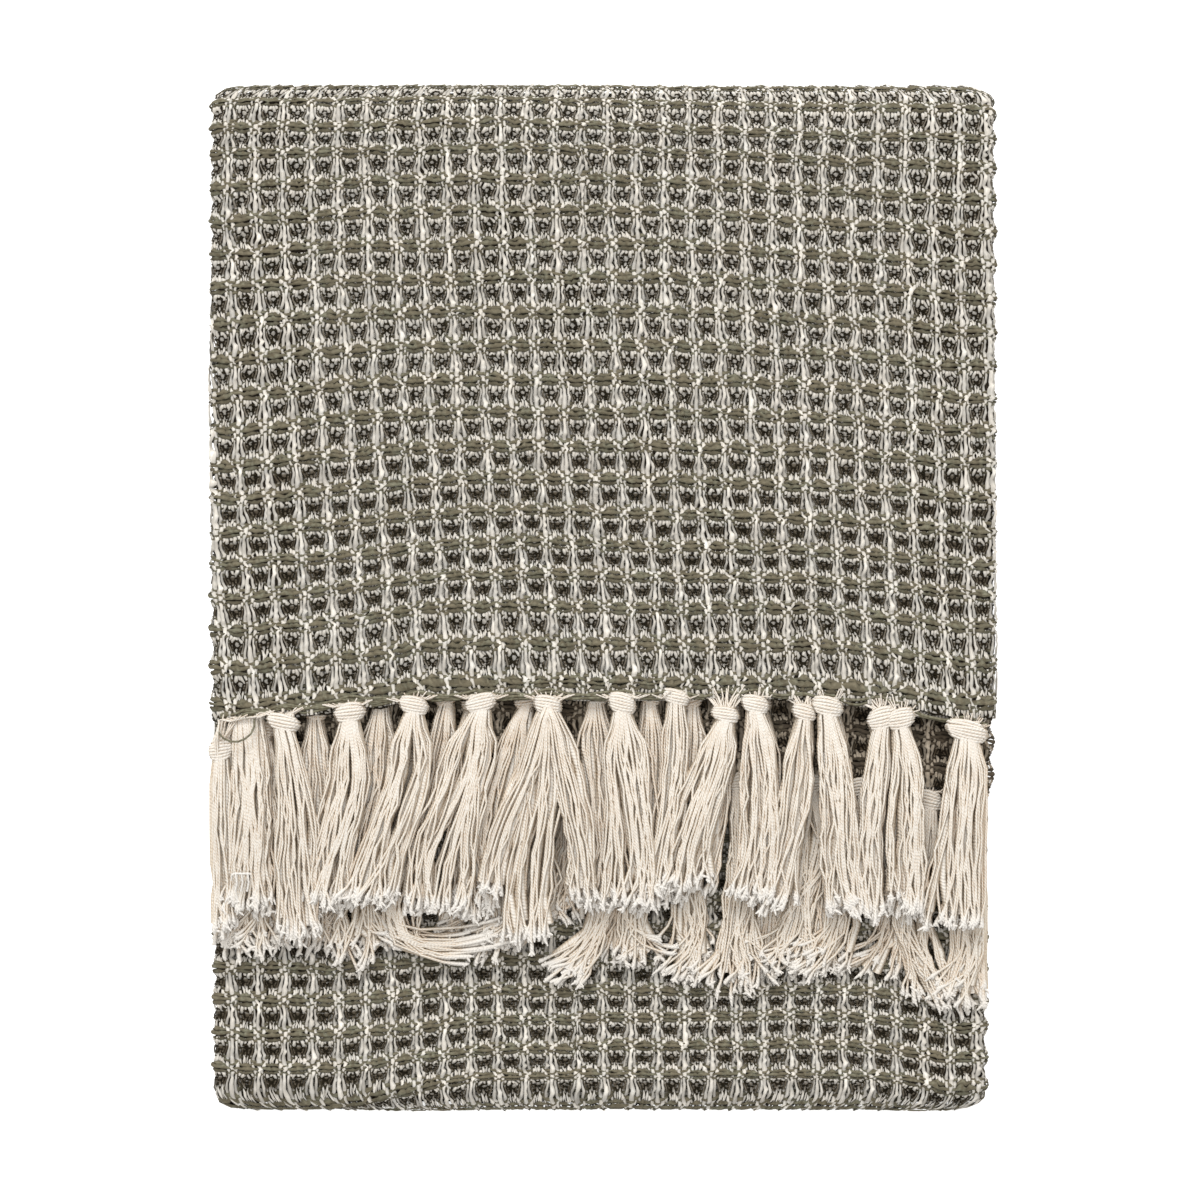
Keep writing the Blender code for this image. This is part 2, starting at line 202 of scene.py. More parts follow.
# Shares by which the sides lie lower than the middle, over a reach from each side, and by which
# the height is uneven. The top and bottom turns bulge, and the outer corners are round.
CROWN = 0.12
CROWN_REACH = 0.026
UNEVENNESS = 0.028
BULGE = 0.0048
CORNER_RADIUS = 0.0130

# Where each run and turn ends, along the width (U) and along the length (V) of the flat sheet.
U_ENDS = np.cumsum([
    INNER_EDGE_X - LEFT_TURN_X,
    math.pi * LEFT_TURN,
    RIGHT_TURN_X - LEFT_TURN_X,
    math.pi * RIGHT_TURN,
    RIGHT_TURN_X - UNDER_EDGE_X,
])
V_ENDS = np.cumsum([
    TOP_TURN_Y - UPPER_EDGE_Y,
    math.pi * OUTER_TURN,
    TOP_TURN_Y - BOTTOM_TURN_Y,
    math.pi * INNER_TURN,
    TOP_TURN_Y - BOTTOM_TURN_Y,
    math.pi * INNER_TURN,
    TOP_TURN_Y - LOWER_EDGE_Y,
])
FLAT_WIDTH, FLAT_LENGTH = float(U_ENDS[-1]), float(V_ENDS[-1])


def across_strip(u, lift):
    """X and height in the three-ply strip of points at u, lifted off the sheet's middle."""
    left = 1.5 * math.pi - (u - U_ENDS[0]) / LEFT_TURN
    right = 0.5 * math.pi - (u - U_ENDS[2]) / RIGHT_TURN
    x = np.select(
        [u < U_ENDS[0], u < U_ENDS[1], u < U_ENDS[2], u < U_ENDS[3]],
        [
            INNER_EDGE_X - u,
            LEFT_TURN_X + (LEFT_TURN + lift) * np.cos(left),
            LEFT_TURN_X + u - U_ENDS[1],
            RIGHT_TURN_X + (RIGHT_TURN + lift) * np.cos(right),
        ],
        RIGHT_TURN_X - (u - U_ENDS[3]),
    )
    height = np.select(
        [u < U_ENDS[0], u < U_ENDS[1], u < U_ENDS[2], u < U_ENDS[3]],
        [
            -lift,
            PLY_PITCH / 2 + (LEFT_TURN + lift) * np.sin(left),
            PLY_PITCH + lift,
            (RIGHT_TURN + lift) * np.sin(right),
        ],
        -PLY_PITCH - lift,
    )
    return x, height


def along_length(v, height):
    """Y and Z of points at v along the sheet, at a height in the strip."""
    top = 0.5 * math.pi - (v - V_ENDS[0]) / OUTER_TURN
    bottom = 1.5 * math.pi - (v - V_ENDS[2]) / INNER_TURN
    inner = -0.5 * math.pi + (v - V_ENDS[4]) / INNER_TURN
    runs = [v < end for end in V_ENDS[:6]]
    y = np.select(
        runs,
        [
            TOP_TURN_Y - V_ENDS[0] + v,
            TOP_TURN_Y + (OUTER_TURN + height) * np.cos(top) + BULGE * np.cos(top) ** 2,
            TOP_TURN_Y - (v - V_ENDS[1]),
            BOTTOM_TURN_Y + (INNER_TURN + height) * np.cos(bottom) - BULGE * np.cos(bottom) ** 2,
            BOTTOM_TURN_Y + (v - V_ENDS[3]),
            TOP_TURN_Y + (INNER_TURN - height) * np.cos(inner),
        ],
        TOP_TURN_Y - (v - V_ENDS[5]),
    )
    z = np.select(
        runs,
        [
            UPPER_END_Z + height,
            TOP_TURN_Z + (OUTER_TURN + height) * np.sin(top),
            BOTTOM_LAYER_Z - height,
            BOTTOM_TURN_Z + (INNER_TURN + height) * np.sin(bottom),
            PANEL_LAYER_Z + height,
            TOP_TURN_Z + (INNER_TURN - height) * np.sin(inner),
        ],
        LOWER_END_Z - height,
    )
    return y, z


def smooth(value):
    """0 below 0, 1 above 1, and a soft step between."""
    value = np.clip(value, 0.0, 1.0)
    return value * value * (3 - 2 * value)


def settle(x, y, z):
    """Rounds the stack's corners seen from above, and lets its sides and top settle."""
    to_end = FOLDED_DEPTH / 2 + BULGE - np.abs(y)
    inside = np.clip(CORNER_RADIUS - to_end, 0.0, CORNER_RADIUS)
    drawn_in = CORNER_RADIUS - np.sqrt(CORNER_RADIUS**2 - inside**2)
    crown = 1 - smooth((FOLDED_WIDTH / 2 - np.abs(x)) / CROWN_REACH)
    x = x * (1 - drawn_in / (FOLDED_WIDTH / 2))
    slow = (
        0.40 * np.sin(23 * x + 9 * y + 0.6)
        + 0.36 * np.sin(17 * y - 12 * x + 2.1)
        + 0.24 * np.sin(41 * x + 31 * y + 4.0)
    )
    return x, y, z * (1 - CROWN * crown) * (1 + UNEVENNESS * slow)


# The weave: a cell has 8 warp ends and 10 picks of weft. Ends are counted from a ridge of long
# warp floats, picks from a ridge of long weft floats at the upper end. The rows aren't even: each
# row here has its distance from the upper end, in metres along the sheet.
ENDS_A_CELL, PICKS_A_CELL = 8, 10
END_PITCH = 0.00182
RIDGE_X = -0.0124
RIDGE_U = float(U_ENDS[1]) + RIDGE_X - LEFT_TURN_X
ROWS = (0, 1, 2, 5, 10, 14, 16, 17, 18, 19, 50, 51, 52, 53, 54, 55, 60, 104)
ROW_PLACES = (
    0.0065, 0.0270, 0.0470, 0.0983, 0.1880, 0.2614, 0.2949, 0.3074, 0.3166, 0.3256,
    0.8722, 0.8857, 0.8965, 0.9122, 0.9273, 0.9422, 1.0257, 1.7737,
)

# How far rows hang below their level, in mm, at nine places across. A row between two of these
# hangs between them, and the rest of the sheet is level.
DROOP_X = (-0.207, -0.154, -0.110, -0.060, 0.020, 0.062, 0.105, 0.150, 0.190)
RowDroop = namedtuple("RowDroop", "row drops")
ROW_DROOPS = (
    RowDroop(-1, (14.0, 7.6, 1.1, 0.0, 1.1, 0.0, 1.0, 5.5, 13.0)),
    RowDroop(0, (13.0, 7.6, 1.1, 0.0, 1.1, 0.0, 1.0, 5.5, 12.0)),
    RowDroop(2, (12.6, 8.1, 1.6, 0.0, 0.0, 0.0, 1.0, 6.8, 10.6)),
    RowDroop(4, (11.0, 6.8, 2.4, 0.0, 1.2, 1.6, 3.6, 7.0, 10.8)),
    RowDroop(6, (10.6, 6.4, 1.8, 0.0, 1.1, 2.0, 4.2, 6.6, 10.0)),
    RowDroop(8, (10.8, 4.4, 0.8, 0.0, 0.5, 1.6, 2.6, 6.8, 10.6)),
    RowDroop(10, (8.1, 3.0, 0.8, 0.0, 0.5, 1.2, 4.3, 7.6, 11.0)),
    RowDroop(12, (6.0, 2.4, 1.1, 0.0, 0.0, 2.2, 5.9, 7.2, 10.2)),
    RowDroop(14, (7.3, 2.8, 1.5, 0.0, 1.1, 3.8, 6.8, 9.5, 11.6)),
    RowDroop(16, (3.5, 2.9, 2.0, 0.0, 2.5, 4.2, 6.4, 7.6, 9.4)),
    RowDroop(17, (2.4, 2.6, 1.6, 0.0, 3.2, 4.4, 5.4, 6.6, 7.0)),
    RowDroop(18, (1.0, 1.2, 0.8, 0.0, 2.4, 2.4, 3.2, 3.6, 3.8)),
    RowDroop(21, (0.0,) * 9),
    RowDroop(49, (0.0,) * 9),
    RowDroop(51, (3.8, 3.8, 2.2, 0.0, 0.0, 0.0, 0.0, 0.0, 2.2)),
    RowDroop(52, (10.8, 10.8, 6.5, 1.2, 0.0, 0.0, 0.0, 1.2, 5.5)),
    RowDroop(53, (11.9, 11.3, 7.6, 1.8, 0.0, -1.0, -1.4, 0.6, 6.5)),
    RowDroop(54, (8.6, 8.6, 5.4, 0.8, -0.5, -1.2, -2.2, 0.0, 4.3)),
    RowDroop(55, (4.3, 4.6, 1.8, -0.8, 0.0, 0.0, -1.0, 0.4, 6.0)),
    RowDroop(62, (0.0,) * 9),
)

# How far ends are drawn out of their even places, in ends, from 0 to 4 ends off a ridge: away from
# the pits, at the pits, and by a share that changes sign in the middle of a cell.
SPREAD_AT_RIDGE = (0.0, 0.34, 0.45, 0.42, 0.0)
SPREAD_AT_PIT = (0.0, 0.20, -0.08, -0.42, 0.0)
SPREAD_BELOW = (0.0, 0.24, 0.30, 0.12, 0.0)

# The ridges lean to the right towards the upper end, more at the left. The lower panel lies a
# little to the left, and the left side reaches out a little above it.
LEAN_LEFT, LEAN_RIGHT = 0.0150, 0.0075
LEAN_POWER = 1.6
LEAN_ROWS = 16.5
PANEL_SHIFT = -0.0026
LEFT_REACH = 0.0020

# How far rows bunch between ridges, in cells, and how far ends and rows stray, in ends and cells:
# from cell to cell, and slowly over some cells.
ROW_BUNCH = 0.032
END_STRAY, END_DRIFT = 0.45, 0.5
ROW_STRAY, ROW_DRIFT = 0.05, 0.05


def row_droop(row, x):
    """How far a row hangs below its level at x, between the table's rows and columns."""
    table = np.array([droop.drops for droop in ROW_DROOPS]).T / 1000
    rows = [droop.row for droop in ROW_DROOPS]
    columns = np.stack([np.interp(row, rows, drops) for drops in table])
    place = np.interp(x, DROOP_X, np.arange(len(DROOP_X)))
    first = np.clip(place.astype(int), 0, len(DROOP_X) - 2)
    share = place - first
    index = np.arange(columns.shape[1])
    return columns[first, index] * (1 - share) + columns[first + 1, index] * share


def patchy(x, y, seed):
    """Smooth random values from -1 to 1, one to each unit square."""
    table = np.random.default_rng(seed).uniform(-1, 1, (257, 257))
    column, row = np.floor(x).astype(int), np.floor(y).astype(int)
    right, up = smooth(x - column), smooth(y - row)
    column, row = column % 256, row % 256
    low = table[column, row] * (1 - right) + table[column + 1, row] * right
    high = table[column, row + 1] * (1 - right) + table[column + 1, row + 1] * right
    return low * (1 - up) + high * up


def to_ridges(end, pick):
    """How many ends and picks a crossing is from the nearest ridges, 0 to 4 and 0 to 5."""
    return abs((end + 4) % 8 - 4), abs((pick + 5) % 10 - 5)


def on_cloth(end, pick, lift):
    """Folded places of points given by end, pick and lift over the sheet's middle."""
    end, pick, lift = (np.asarray(value, float) for value in (end, pick, lift))
    cell, row = end / ENDS_A_CELL, pick / PICKS_A_CELL
    pit_row = np.exp(-(((pick - 6.0 + 5) % 10 - 5) / 1.9) ** 2)
    from_ridge = (end + 4) % 8 - 4
    apart = np.interp(np.abs(from_ridge), range(5), SPREAD_AT_RIDGE) * (1 - pit_row)
    apart = apart + np.interp(np.abs(from_ridge), range(5), SPREAD_AT_PIT) * pit_row
    turning = np.sin(0.2 * math.pi * pick)
    apart = apart + np.interp(np.abs(from_ridge), range(5), SPREAD_BELOW) * turning
    bunched_end = end + np.sign(from_ridge) * apart
    mid_end = 0.5 - 0.5 * np.cos(2 * math.pi * cell)
    bunched_row = row + ROW_BUNCH * np.sin(2 * math.pi * row) * mid_end
    bunched_end = bunched_end + END_STRAY * patchy(cell * 1.4, row * 1.4, 3)
    bunched_end = bunched_end + END_DRIFT * patchy(cell / 5, row / 5, 5)
    bunched_row = bunched_row + ROW_STRAY * patchy(cell * 1.3, row * 1.3, 4)
    bunched_row = bunched_row + ROW_DRIFT * patchy(cell / 5, row / 4, 6)
    u = RIDGE_U + bunched_end * END_PITCH
    v = np.interp(bunched_row, ROWS, ROW_PLACES)
    v = v + (bunched_row < 0) * bunched_row * (ROW_PLACES[1] - ROW_PLACES[0])
    x, _ = across_strip(u, 0.0)
    lean = np.interp(x, (-0.05, 0.2), (LEAN_LEFT, LEAN_RIGHT))
    lean = lean * smooth(u / 0.3) * smooth((FLAT_WIDTH - u) / 0.3)
    u = u + lean * np.clip(1 - bunched_row / LEAN_ROWS, 0.0, 1.1) ** LEAN_POWER
    v = v - row_droop(row, x)
    v = v - LOWER_EDGE_SLOPE * x * smooth((row - 85) / 15)
    x, height = across_strip(u, lift)
    y, z = along_length(v, height)
    x, y, z = settle(x, y, z)
    x = x + PANEL_SHIFT * smooth((bunched_row - 40) / 8) * smooth((70 - bunched_row) / 8)
    x = x - LEFT_REACH * smooth((-x - 0.10) / 0.11) * smooth((24 - bunched_row) / 4)
    return np.stack([x, y, z], axis=-1)


class Wire:
    """One socket of a node tree. Operators on it add Math nodes, so a pattern reads as a formula."""

    def __init__(self, tree, socket=None):
        self.tree = tree
        self.socket = socket

    def node(self, kind, settings=None, inputs=None, output=0):
        """Adds a node. Its settings are set first, then the values or links of its sockets."""
        made = self.tree.nodes.new(kind)
        for name, value in (settings or {}).items():
            setattr(made, name, value)
        for name, value in (inputs or {}).items():
            socket = made.inputs[name]
            if isinstance(value, Wire):
                self.tree.links.new(value.socket, socket)
            else:
                socket.default_value = value
        return Wire(self.tree, made.outputs[output])

    def other(self, output):
        """Another output of the node that this wire comes from."""
        return Wire(self.tree, self.socket.node.outputs[output])

    def math(self, operation, *values):
        return self.node("ShaderNodeMath", {"operation": operation}, dict(enumerate(values)))

    def __add__(self, value):
        return self.math("ADD", self, value)

    def __radd__(self, value):
        return self.math("ADD", value, self)

    def __sub__(self, value):
        return self.math("SUBTRACT", self, value)

    def __rsub__(self, value):
        return self.math("SUBTRACT", value, self)

    def __mul__(self, value):
        return self.math("MULTIPLY", self, value)

    def __rmul__(self, value):
        return self.math("MULTIPLY", value, self)

    def __truediv__(self, value):
        return self.math("DIVIDE", self, value)

    def __mod__(self, value):
        return self.math("FLOORED_MODULO", self, value)

    def __lt__(self, value):
        return self.math("LESS_THAN", self, value)

    def __gt__(self, value):
        return self.math("GREATER_THAN", self, value)

    def __abs__(self):
        return self.math("ABSOLUTE", self)

    def __round__(self):
        return self.math("ROUND", self)

    def lowest(self, value):
        return self.math("MINIMUM", self, value)

    def highest(self, value):
        return self.math("MAXIMUM", self, value)

    def sine(self):
        return self.math("SINE", self)

    def floor(self):
        return self.math("FLOOR", self)

    def between(self, low, high):
        """0 below low, 1 above high, smooth between."""
        return self.node(
            "ShaderNodeMapRange",
            {"interpolation_type": "SMOOTHSTEP"},
            {"Value": self, "From Min": low, "From Max": high},
        )

    def mixed(self, first, second):
        """A colour from first, where this wire is 0, to second, where it is 1."""
        return self.node("ShaderNodeMix", {"data_type": "RGBA"}, {0: self, 6: first, 7: second}, 2)

    def multiplied(self, color):
        """This colour times another."""
        return self.node("ShaderNodeVectorMath", {"operation": "MULTIPLY"}, {0: self, 1: color})

    def times(self, color):
        """A colour darkened by this wire."""
        return self.node("ShaderNodeVectorMath", {"operation": "SCALE"}, {0: color, "Scale": self})

    def point(self, x, y, z=0.0):
        return self.node("ShaderNodeCombineXYZ", inputs={0: x, 1: y, 2: z})

    def split(self):
        """The X of this point. Its Y is the new wire's other output, 1."""
        return self.node("ShaderNodeSeparateXYZ", inputs={0: self})

    def noise(self, scale, detail):
        """Soft noise, from 0 to 1, at this point."""
        sizes = {"Vector": self, "Scale": scale, "Detail": detail}
        return self.node("ShaderNodeTexNoise", inputs=sizes)

    def cloud(self, scale):
        """Soft noise over the object, at a scale in cells a metre."""
        return self.node("ShaderNodeTexCoord", output=3).noise(scale, 2.0)

    def stored(self, name, output=2):
        """A value that the mesh stores at its points."""
        return self.node("ShaderNodeAttribute", {"attribute_name": name}, output=output)

    def bump(self, strength, distance):
        """The normal of a relief with this height."""
        sizes = {"Strength": strength, "Distance": distance, "Height": self}
        return self.node("ShaderNodeBump", inputs=sizes)

    def plug(self, socket):
        """Links this wire to a socket."""
        self.tree.links.new(self.socket, socket)


def stitch_by_ridge(end, pick):
    """1 at the short cream stitches two picks from an olive ridge, in the middle of a cell."""
    return (abs(end - 3.5) < 1.0) * (abs(pick - 2) < 0.5)


def warp_is_up(end, pick):
    """1 where the warp end passes over the pick. Both count from the ridges, 0 to 4 and 0 to 5."""
    return (abs(end - pick) < 0.5) + stitch_by_ridge(end, pick) + ((end - pick) < -1.5)


def cotton_shader(name, roughness=0.95, sheen=0.0):
    """A new material with its Principled shader, and a wire to build on."""
    material = bpy.data.materials.new(name)
    material.use_nodes = True
    shader = material.node_tree.nodes["Principled BSDF"]
    shader.inputs["Roughness"].default_value = roughness
    shader.inputs["Sheen Weight"].default_value = sheen
    shader.inputs["Specular IOR Level"].default_value = 0.1
    return material, shader, Wire(material.node_tree)


CREAM = (0.705, 0.677, 0.618, 1)
CREAM_SHADE = (0.610, 0.565, 0.490, 1)
OLIVE = (0.206, 0.198, 0.140, 1)
OLIVE_SHADE = (0.118, 0.100, 0.065, 1)
# The near-black painted shade of the gaps under the separately laid yarns.
GAP_SHADE = (0.050, 0.039, 0.027, 1)


def woven_cotton():
    """Cloth seen without its separate yarns: the weave's draft as colour and as relief, with painted shade."""
    material, shader, start = cotton_shader("woven_cotton")
    place = start.node("ShaderNodeUVMap", {"uv_map": "weave"}).split()
    end, pick = place * ENDS_A_CELL, place.other(1) * PICKS_A_CELL
    near_end, near_pick = round(end), round(pick)
    ridge_end, ridge_pick = to_ridges(near_end, near_pick)
    warp = warp_is_up(ridge_end, ridge_pick)
    off_end, off_pick = abs(end - near_end), abs(pick - near_pick)
    side = warp * off_end + (1 - warp) * off_pick
    length = warp * off_pick + (1 - warp) * off_end
    round_yarn = 1 - side * side * 3.4
    from_end, from_pick = to_ridges(end, pick)
    depth = (from_end / 4).lowest(from_pick / 5)
    cloudy = start.cloud(200.0)
    cream = cloudy.mixed(CREAM_SHADE, CREAM)
    olive = cloudy.mixed(OLIVE_SHADE, OLIVE)
    # Painted shade: each yarn darker towards its sides, and the cloth darker the deeper it lies in a pit.
    shade = round_yarn.highest(0.15) * (1 - 0.75 * depth * depth)
    color = shade.times(warp.mixed(olive, cream))
    # Where yarns are laid over the sheet, it takes the near-black painted shade, so the gaps between them look dark.
    start.stored("under_yarns").mixed(color, GAP_SHADE).plug(shader.inputs["Base Color"])
    relief = round_yarn - length * length * 0.8
    relief.bump(0.8, 0.0006).plug(shader.inputs["Normal"])
    return material


# The rows of cells over which yarns are laid one by one, and how far they run on round the turns.
UPPER_LAST_ROW = 19.75
PANEL_FIRST_ROW, PANEL_LAST_ROW = 50.65, 58.8
LOWER_FIRST_ROW = 99.5
ROUND_THE_TURN = 0.006


def detailed(u, row):
    """Whether the yarns are laid one by one over this place, so that the sheet lies lower."""
    outside = (u > U_ENDS[0] - ROUND_THE_TURN) & (u < U_ENDS[3] + ROUND_THE_TURN)
    upper = (row < UPPER_LAST_ROW) & outside
    panel = (row > PANEL_FIRST_ROW) & (row < PANEL_LAST_ROW) & outside
    lower = (row > LOWER_FIRST_ROW) & (u > U_ENDS[2])
    return upper | panel | lower


# Where yarns are laid over the sheet, its face and back lie this far under its middle. Elsewhere
# its face has the relief of the cells. Its first and last end and pick lie on its own edges.
SHEET_DIP = 0.00240
DIP_BACK = 0.00280
SHEET_BACK = 0.0016
FACE_LIFT = 0.0003
RIDGE_LIFT = 0.0008
END_FIRST = (0 - RIDGE_U) / END_PITCH
END_LAST = (FLAT_WIDTH - RIDGE_U) / END_PITCH
PICK_FIRST = -4.3
PICK_LAST = 1036.0


def in_scene(name, data):
    """A new object in the scene."""
    piece = bpy.data.objects.new(name, data)
    bpy.context.scene.collection.objects.link(piece)
    return piece


def stepped(*parts):
    """Joined runs of values: each part is first, last and step."""
    runs = [np.arange(first, last, step) for first, last, step in parts]
    return np.append(np.concatenate(runs), parts[-1][1])


def woven_sheet():
    """The whole sheet in its folds, a thin closed shell. Its steps are close where it turns."""
    end = stepped(
        (END_FIRST, -116, 22), (-116, -104, 1), (-104, 120, 4), (120, 132, 1), (132, END_LAST, 8)
    )
    pick = stepped(
        (PICK_FIRST, 180, 10), (180, 215, 2), (215, 505, 5), (505, 522, 1.25), (522, 600, 10),
        (600, 830, 10), (830, 850, 1.25), (850, 1000, 10), (1000, PICK_LAST, 5)
    )
    ends, picks = np.meshgrid(end, pick, indexing="ij")
    ends, picks = ends.ravel(), picks.ravel()
    to_end, to_pick = to_ridges(ends, picks)
    relief = FACE_LIFT + RIDGE_LIFT * (1 - 2 * np.minimum(to_end / 4, to_pick / 5))
    low = detailed(RIDGE_U + ends * END_PITCH, picks / PICKS_A_CELL)
    face = np.where(low, -SHEET_DIP, relief)
    back = np.where(low, -DIP_BACK, -SHEET_BACK)
    points = np.concatenate([on_cloth(ends, picks, face), on_cloth(ends, picks, back)])
    rows, count = len(pick), len(ends)
    k = (np.arange(len(end) - 1)[:, None] * rows + np.arange(rows - 1)).ravel()
    face_quads = np.stack([k, k + rows, k + rows + 1, k + 1], axis=1)
    back_quads = face_quads[:, ::-1] + count
    rim = np.concatenate([
        np.arange(0, rows - 1), np.arange(rows - 1, count - 1, rows),
        np.arange(count - 1, count - rows, -1), np.arange(count - rows, 0, -rows),
    ])
    after = np.roll(rim, -1)
    rim_quads = np.stack([rim, after, after + count, rim + count], axis=1)
    faces = np.concatenate([face_quads, back_quads, rim_quads])
    mesh = bpy.data.meshes.new("woven_sheet")
    mesh.from_pydata(points.tolist(), [], faces.tolist())
    weave = np.stack([np.tile(ends, 2) / ENDS_A_CELL, np.tile(picks, 2) / PICKS_A_CELL], axis=1)
    corners = np.zeros(len(mesh.loops), int)
    mesh.loops.foreach_get("vertex_index", corners)
    layer = mesh.uv_layers.new(name="weave")
    layer.data.foreach_set("uv", weave[corners].ravel())
    tidy = bmesh.new()
    tidy.from_mesh(mesh)
    bmesh.ops.recalc_face_normals(tidy, faces=tidy.faces)
    tidy.to_mesh(mesh)
    tidy.free()
    covered = mesh.attributes.new("under_yarns", "FLOAT", "POINT")
    covered.data.foreach_set("value", np.tile(low, 2).astype(float))
    mesh.shade_smooth()
    mesh.materials.append(woven_cotton())
    return in_scene("woven_sheet", mesh)


sheet = woven_sheet()
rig.ride(sheet, "root")
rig.replaces(sheet, "blanket_cloth")
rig.slot(sheet, "waffle_cotton")

# ---------------------------------------------------------------------------------------------
# The yarns on the faces that show. Cream warp ends and olive picks of soft two-ply cotton pass
# over and under each other: long floats make the ridges, and the tight crossings sink to the pits.

# Across a yarn there are three points, its middle and its two sides.
POINTS_ACROSS = 3


def new_tree(name, inputs):
    """A tree of geometry nodes, a wire to build on, and wires from its inputs, given by kind."""
    tree = bpy.data.node_groups.new(name, "GeometryNodeTree")
    for label, kind in inputs.items():
        tree.interface.new_socket(label, in_out="INPUT", socket_type=f"NodeSocket{kind}")
    tree.interface.new_socket("Geometry", in_out="OUTPUT", socket_type="NodeSocketGeometry")
    group = tree.nodes.new("NodeGroupInput")
    return tree, Wire(tree), {label: Wire(tree, group.outputs[label]) for label in inputs}


def finish_tree(geometry, material):
    """Ends a tree with this geometry, made real and with its material."""
    geometry = geometry.node("GeometryNodeRealizeInstances", inputs={"Geometry": geometry})
    finish = {"Geometry": geometry, "Material": material}
    geometry = geometry.node("GeometryNodeSetMaterial", inputs=finish)
    geometry.plug(geometry.tree.nodes.new("NodeGroupOutput").inputs["Geometry"])


def woven_yarns_tree():
    """Yarns side by side over a field of crossings. X counts ends and Y picks, Z is the lift."""
    tree, start, size = new_tree("woven_yarns", {
        "Yarns": "Int", "Crossings": "Int", "First End": "Float", "First Pick": "Float",
        "Weft": "Float", "Pit Depth": "Float", "Yarn Lift": "Float", "Yarn Crown": "Float",
        "Half Width": "Float", "Wobble": "Float", "Seed": "Float", "Material": "Material",
    })
    weft = size["Weft"]
    columns = size["Yarns"] * POINTS_ACROSS
    field = start.node(
        "GeometryNodeMeshGrid",
        inputs={
            "Size X": columns - 1, "Size Y": size["Crossings"] - 1,
            "Vertices X": columns, "Vertices Y": size["Crossings"],
        },
    )
    place = start.node("GeometryNodeInputPosition").split()
    column = place + (columns - 1) / 2
    crossing = round(place.other(1) + (size["Crossings"] - 1) / 2)
    yarn = (round(column) / POINTS_ACROSS).floor()
    side = round(column) % POINTS_ACROSS - 1
    end = size["First End"] + yarn * (1 - weft) + crossing * weft
    pick = size["First Pick"] + crossing * (1 - weft) + yarn * weft
    ridge_end, ridge_pick = to_ridges(end, pick)
    warp = warp_is_up(ridge_end, ridge_pick)
    up = warp * (1 - weft) + (1 - warp) * weft
    depth = (ridge_end / 4).lowest(ridge_pick / 5)
    stray = start.point(yarn * 7.31, crossing * 0.33, size["Seed"]).noise(1.0, 1.0)
    stray = stray.between(0.30, 0.70)
    jitter = start.point(yarn * 3.7, crossing * 1.9, size["Seed"]).noise(1.0, 0.0)
    jitter = jitter.between(0.25, 0.75)
    crossed = abs(ridge_end - ridge_pick) < 0.5
    nearly = abs(ridge_end - ridge_pick) < 1.5
    height = 1 - depth
    south = (pick % 10) > 8.5

    # Painted light: pits take painted shade, deepest in the rows that hang tightest; stitches stay bright.
    deep_rows = pick.between(14, 28) * (1 - pick.between(60, 84)) + pick.between(500, 530)
    shade_in_pits = depth.between(0.45, 0.85) * 0.52 + depth.between(0.60, 0.82) * deep_rows * 0.44
    stitches = crossed.highest(stitch_by_ridge(ridge_end, ridge_pick))
    # Painted shade: yarns grow darker as they go down from a ridge into a pit.
    lit_by_height = height.between(0.30 + 0.15 * deep_rows, 0.92)
    warp_light = (lit_by_height * (0.62 + 0.62 * stray)).highest(stitches).highest(nearly * 0.84)
    warp_light = warp_light * (1 - shade_in_pits)
    # The weft's painted light, with a painted shadow on the south side of each olive ridge.
    weft_light = height.between(0.30, 0.84) * (1 - 0.34 * south) * (1 - 0.6 * shade_in_pits)
    light = (warp_light * (1 - weft) + weft_light * weft) * (0.73 + 0.34 * jitter)

    # Lift: ridges rise and pits sink, and of two yarns that cross one lies over the other.
    lift = (
        size["Pit Depth"] * (1 - 2 * depth)
        + size["Yarn Lift"] * (2 * up - 1)
        + size["Yarn Crown"] * (1 - abs(side))
        + (stray - 0.5) * 0.0004
        + (jitter - 0.5) * 0.0004
    )
    stored = {"light": light, "up": up, "side": side, "crossing": crossing, "yarn": yarn}
    for name, value in stored.items():
        field = start.node(
            "GeometryNodeStoreNamedAttribute",
            {"data_type": "FLOAT", "domain": "POINT"},
            {"Geometry": field, "Name": name, "Value": value},
        )
    shown = start.node("GeometryNodeInputNamedAttribute", {"data_type": "FLOAT"}, {"Name": "up"})
    between_yarns = column % POINTS_ACROSS > POINTS_ACROSS - 1.0
    hidden = (shown < 0.01).highest(between_yarns)
    field = start.node(
        "GeometryNodeDeleteGeometry", {"domain": "FACE"}, {"Geometry": field, "Selection": hidden}
    )

    # Width: yarns are slim where they cross over one another, and a little uneven everywhere.
    slim = (0.82 - 0.09 * ridge_end).highest(stitches * (0.84 + 0.16 * depth))
    slim = slim.highest(weft * (1.08 - 0.44 * nearly)) * (0.76 + 0.46 * jitter)
    shift = (stray - 0.5) * 0.6 + (jitter - 0.5) * (0.6 + 0.8 * stitches)
    sideways = side * size["Half Width"] * slim + shift * size["Wobble"]
    sideways = sideways - south * weft * 0.25
    where = start.point(end + sideways * (1 - weft), pick + sideways * weft, lift)
    field = start.node("GeometryNodeSetPosition", inputs={"Geometry": field, "Position": where})
    field = start.node("GeometryNodeFlipFaces", inputs={"Mesh": field, "Selection": weft > 0.5})
    finish_tree(field, size["Material"])
    return tree


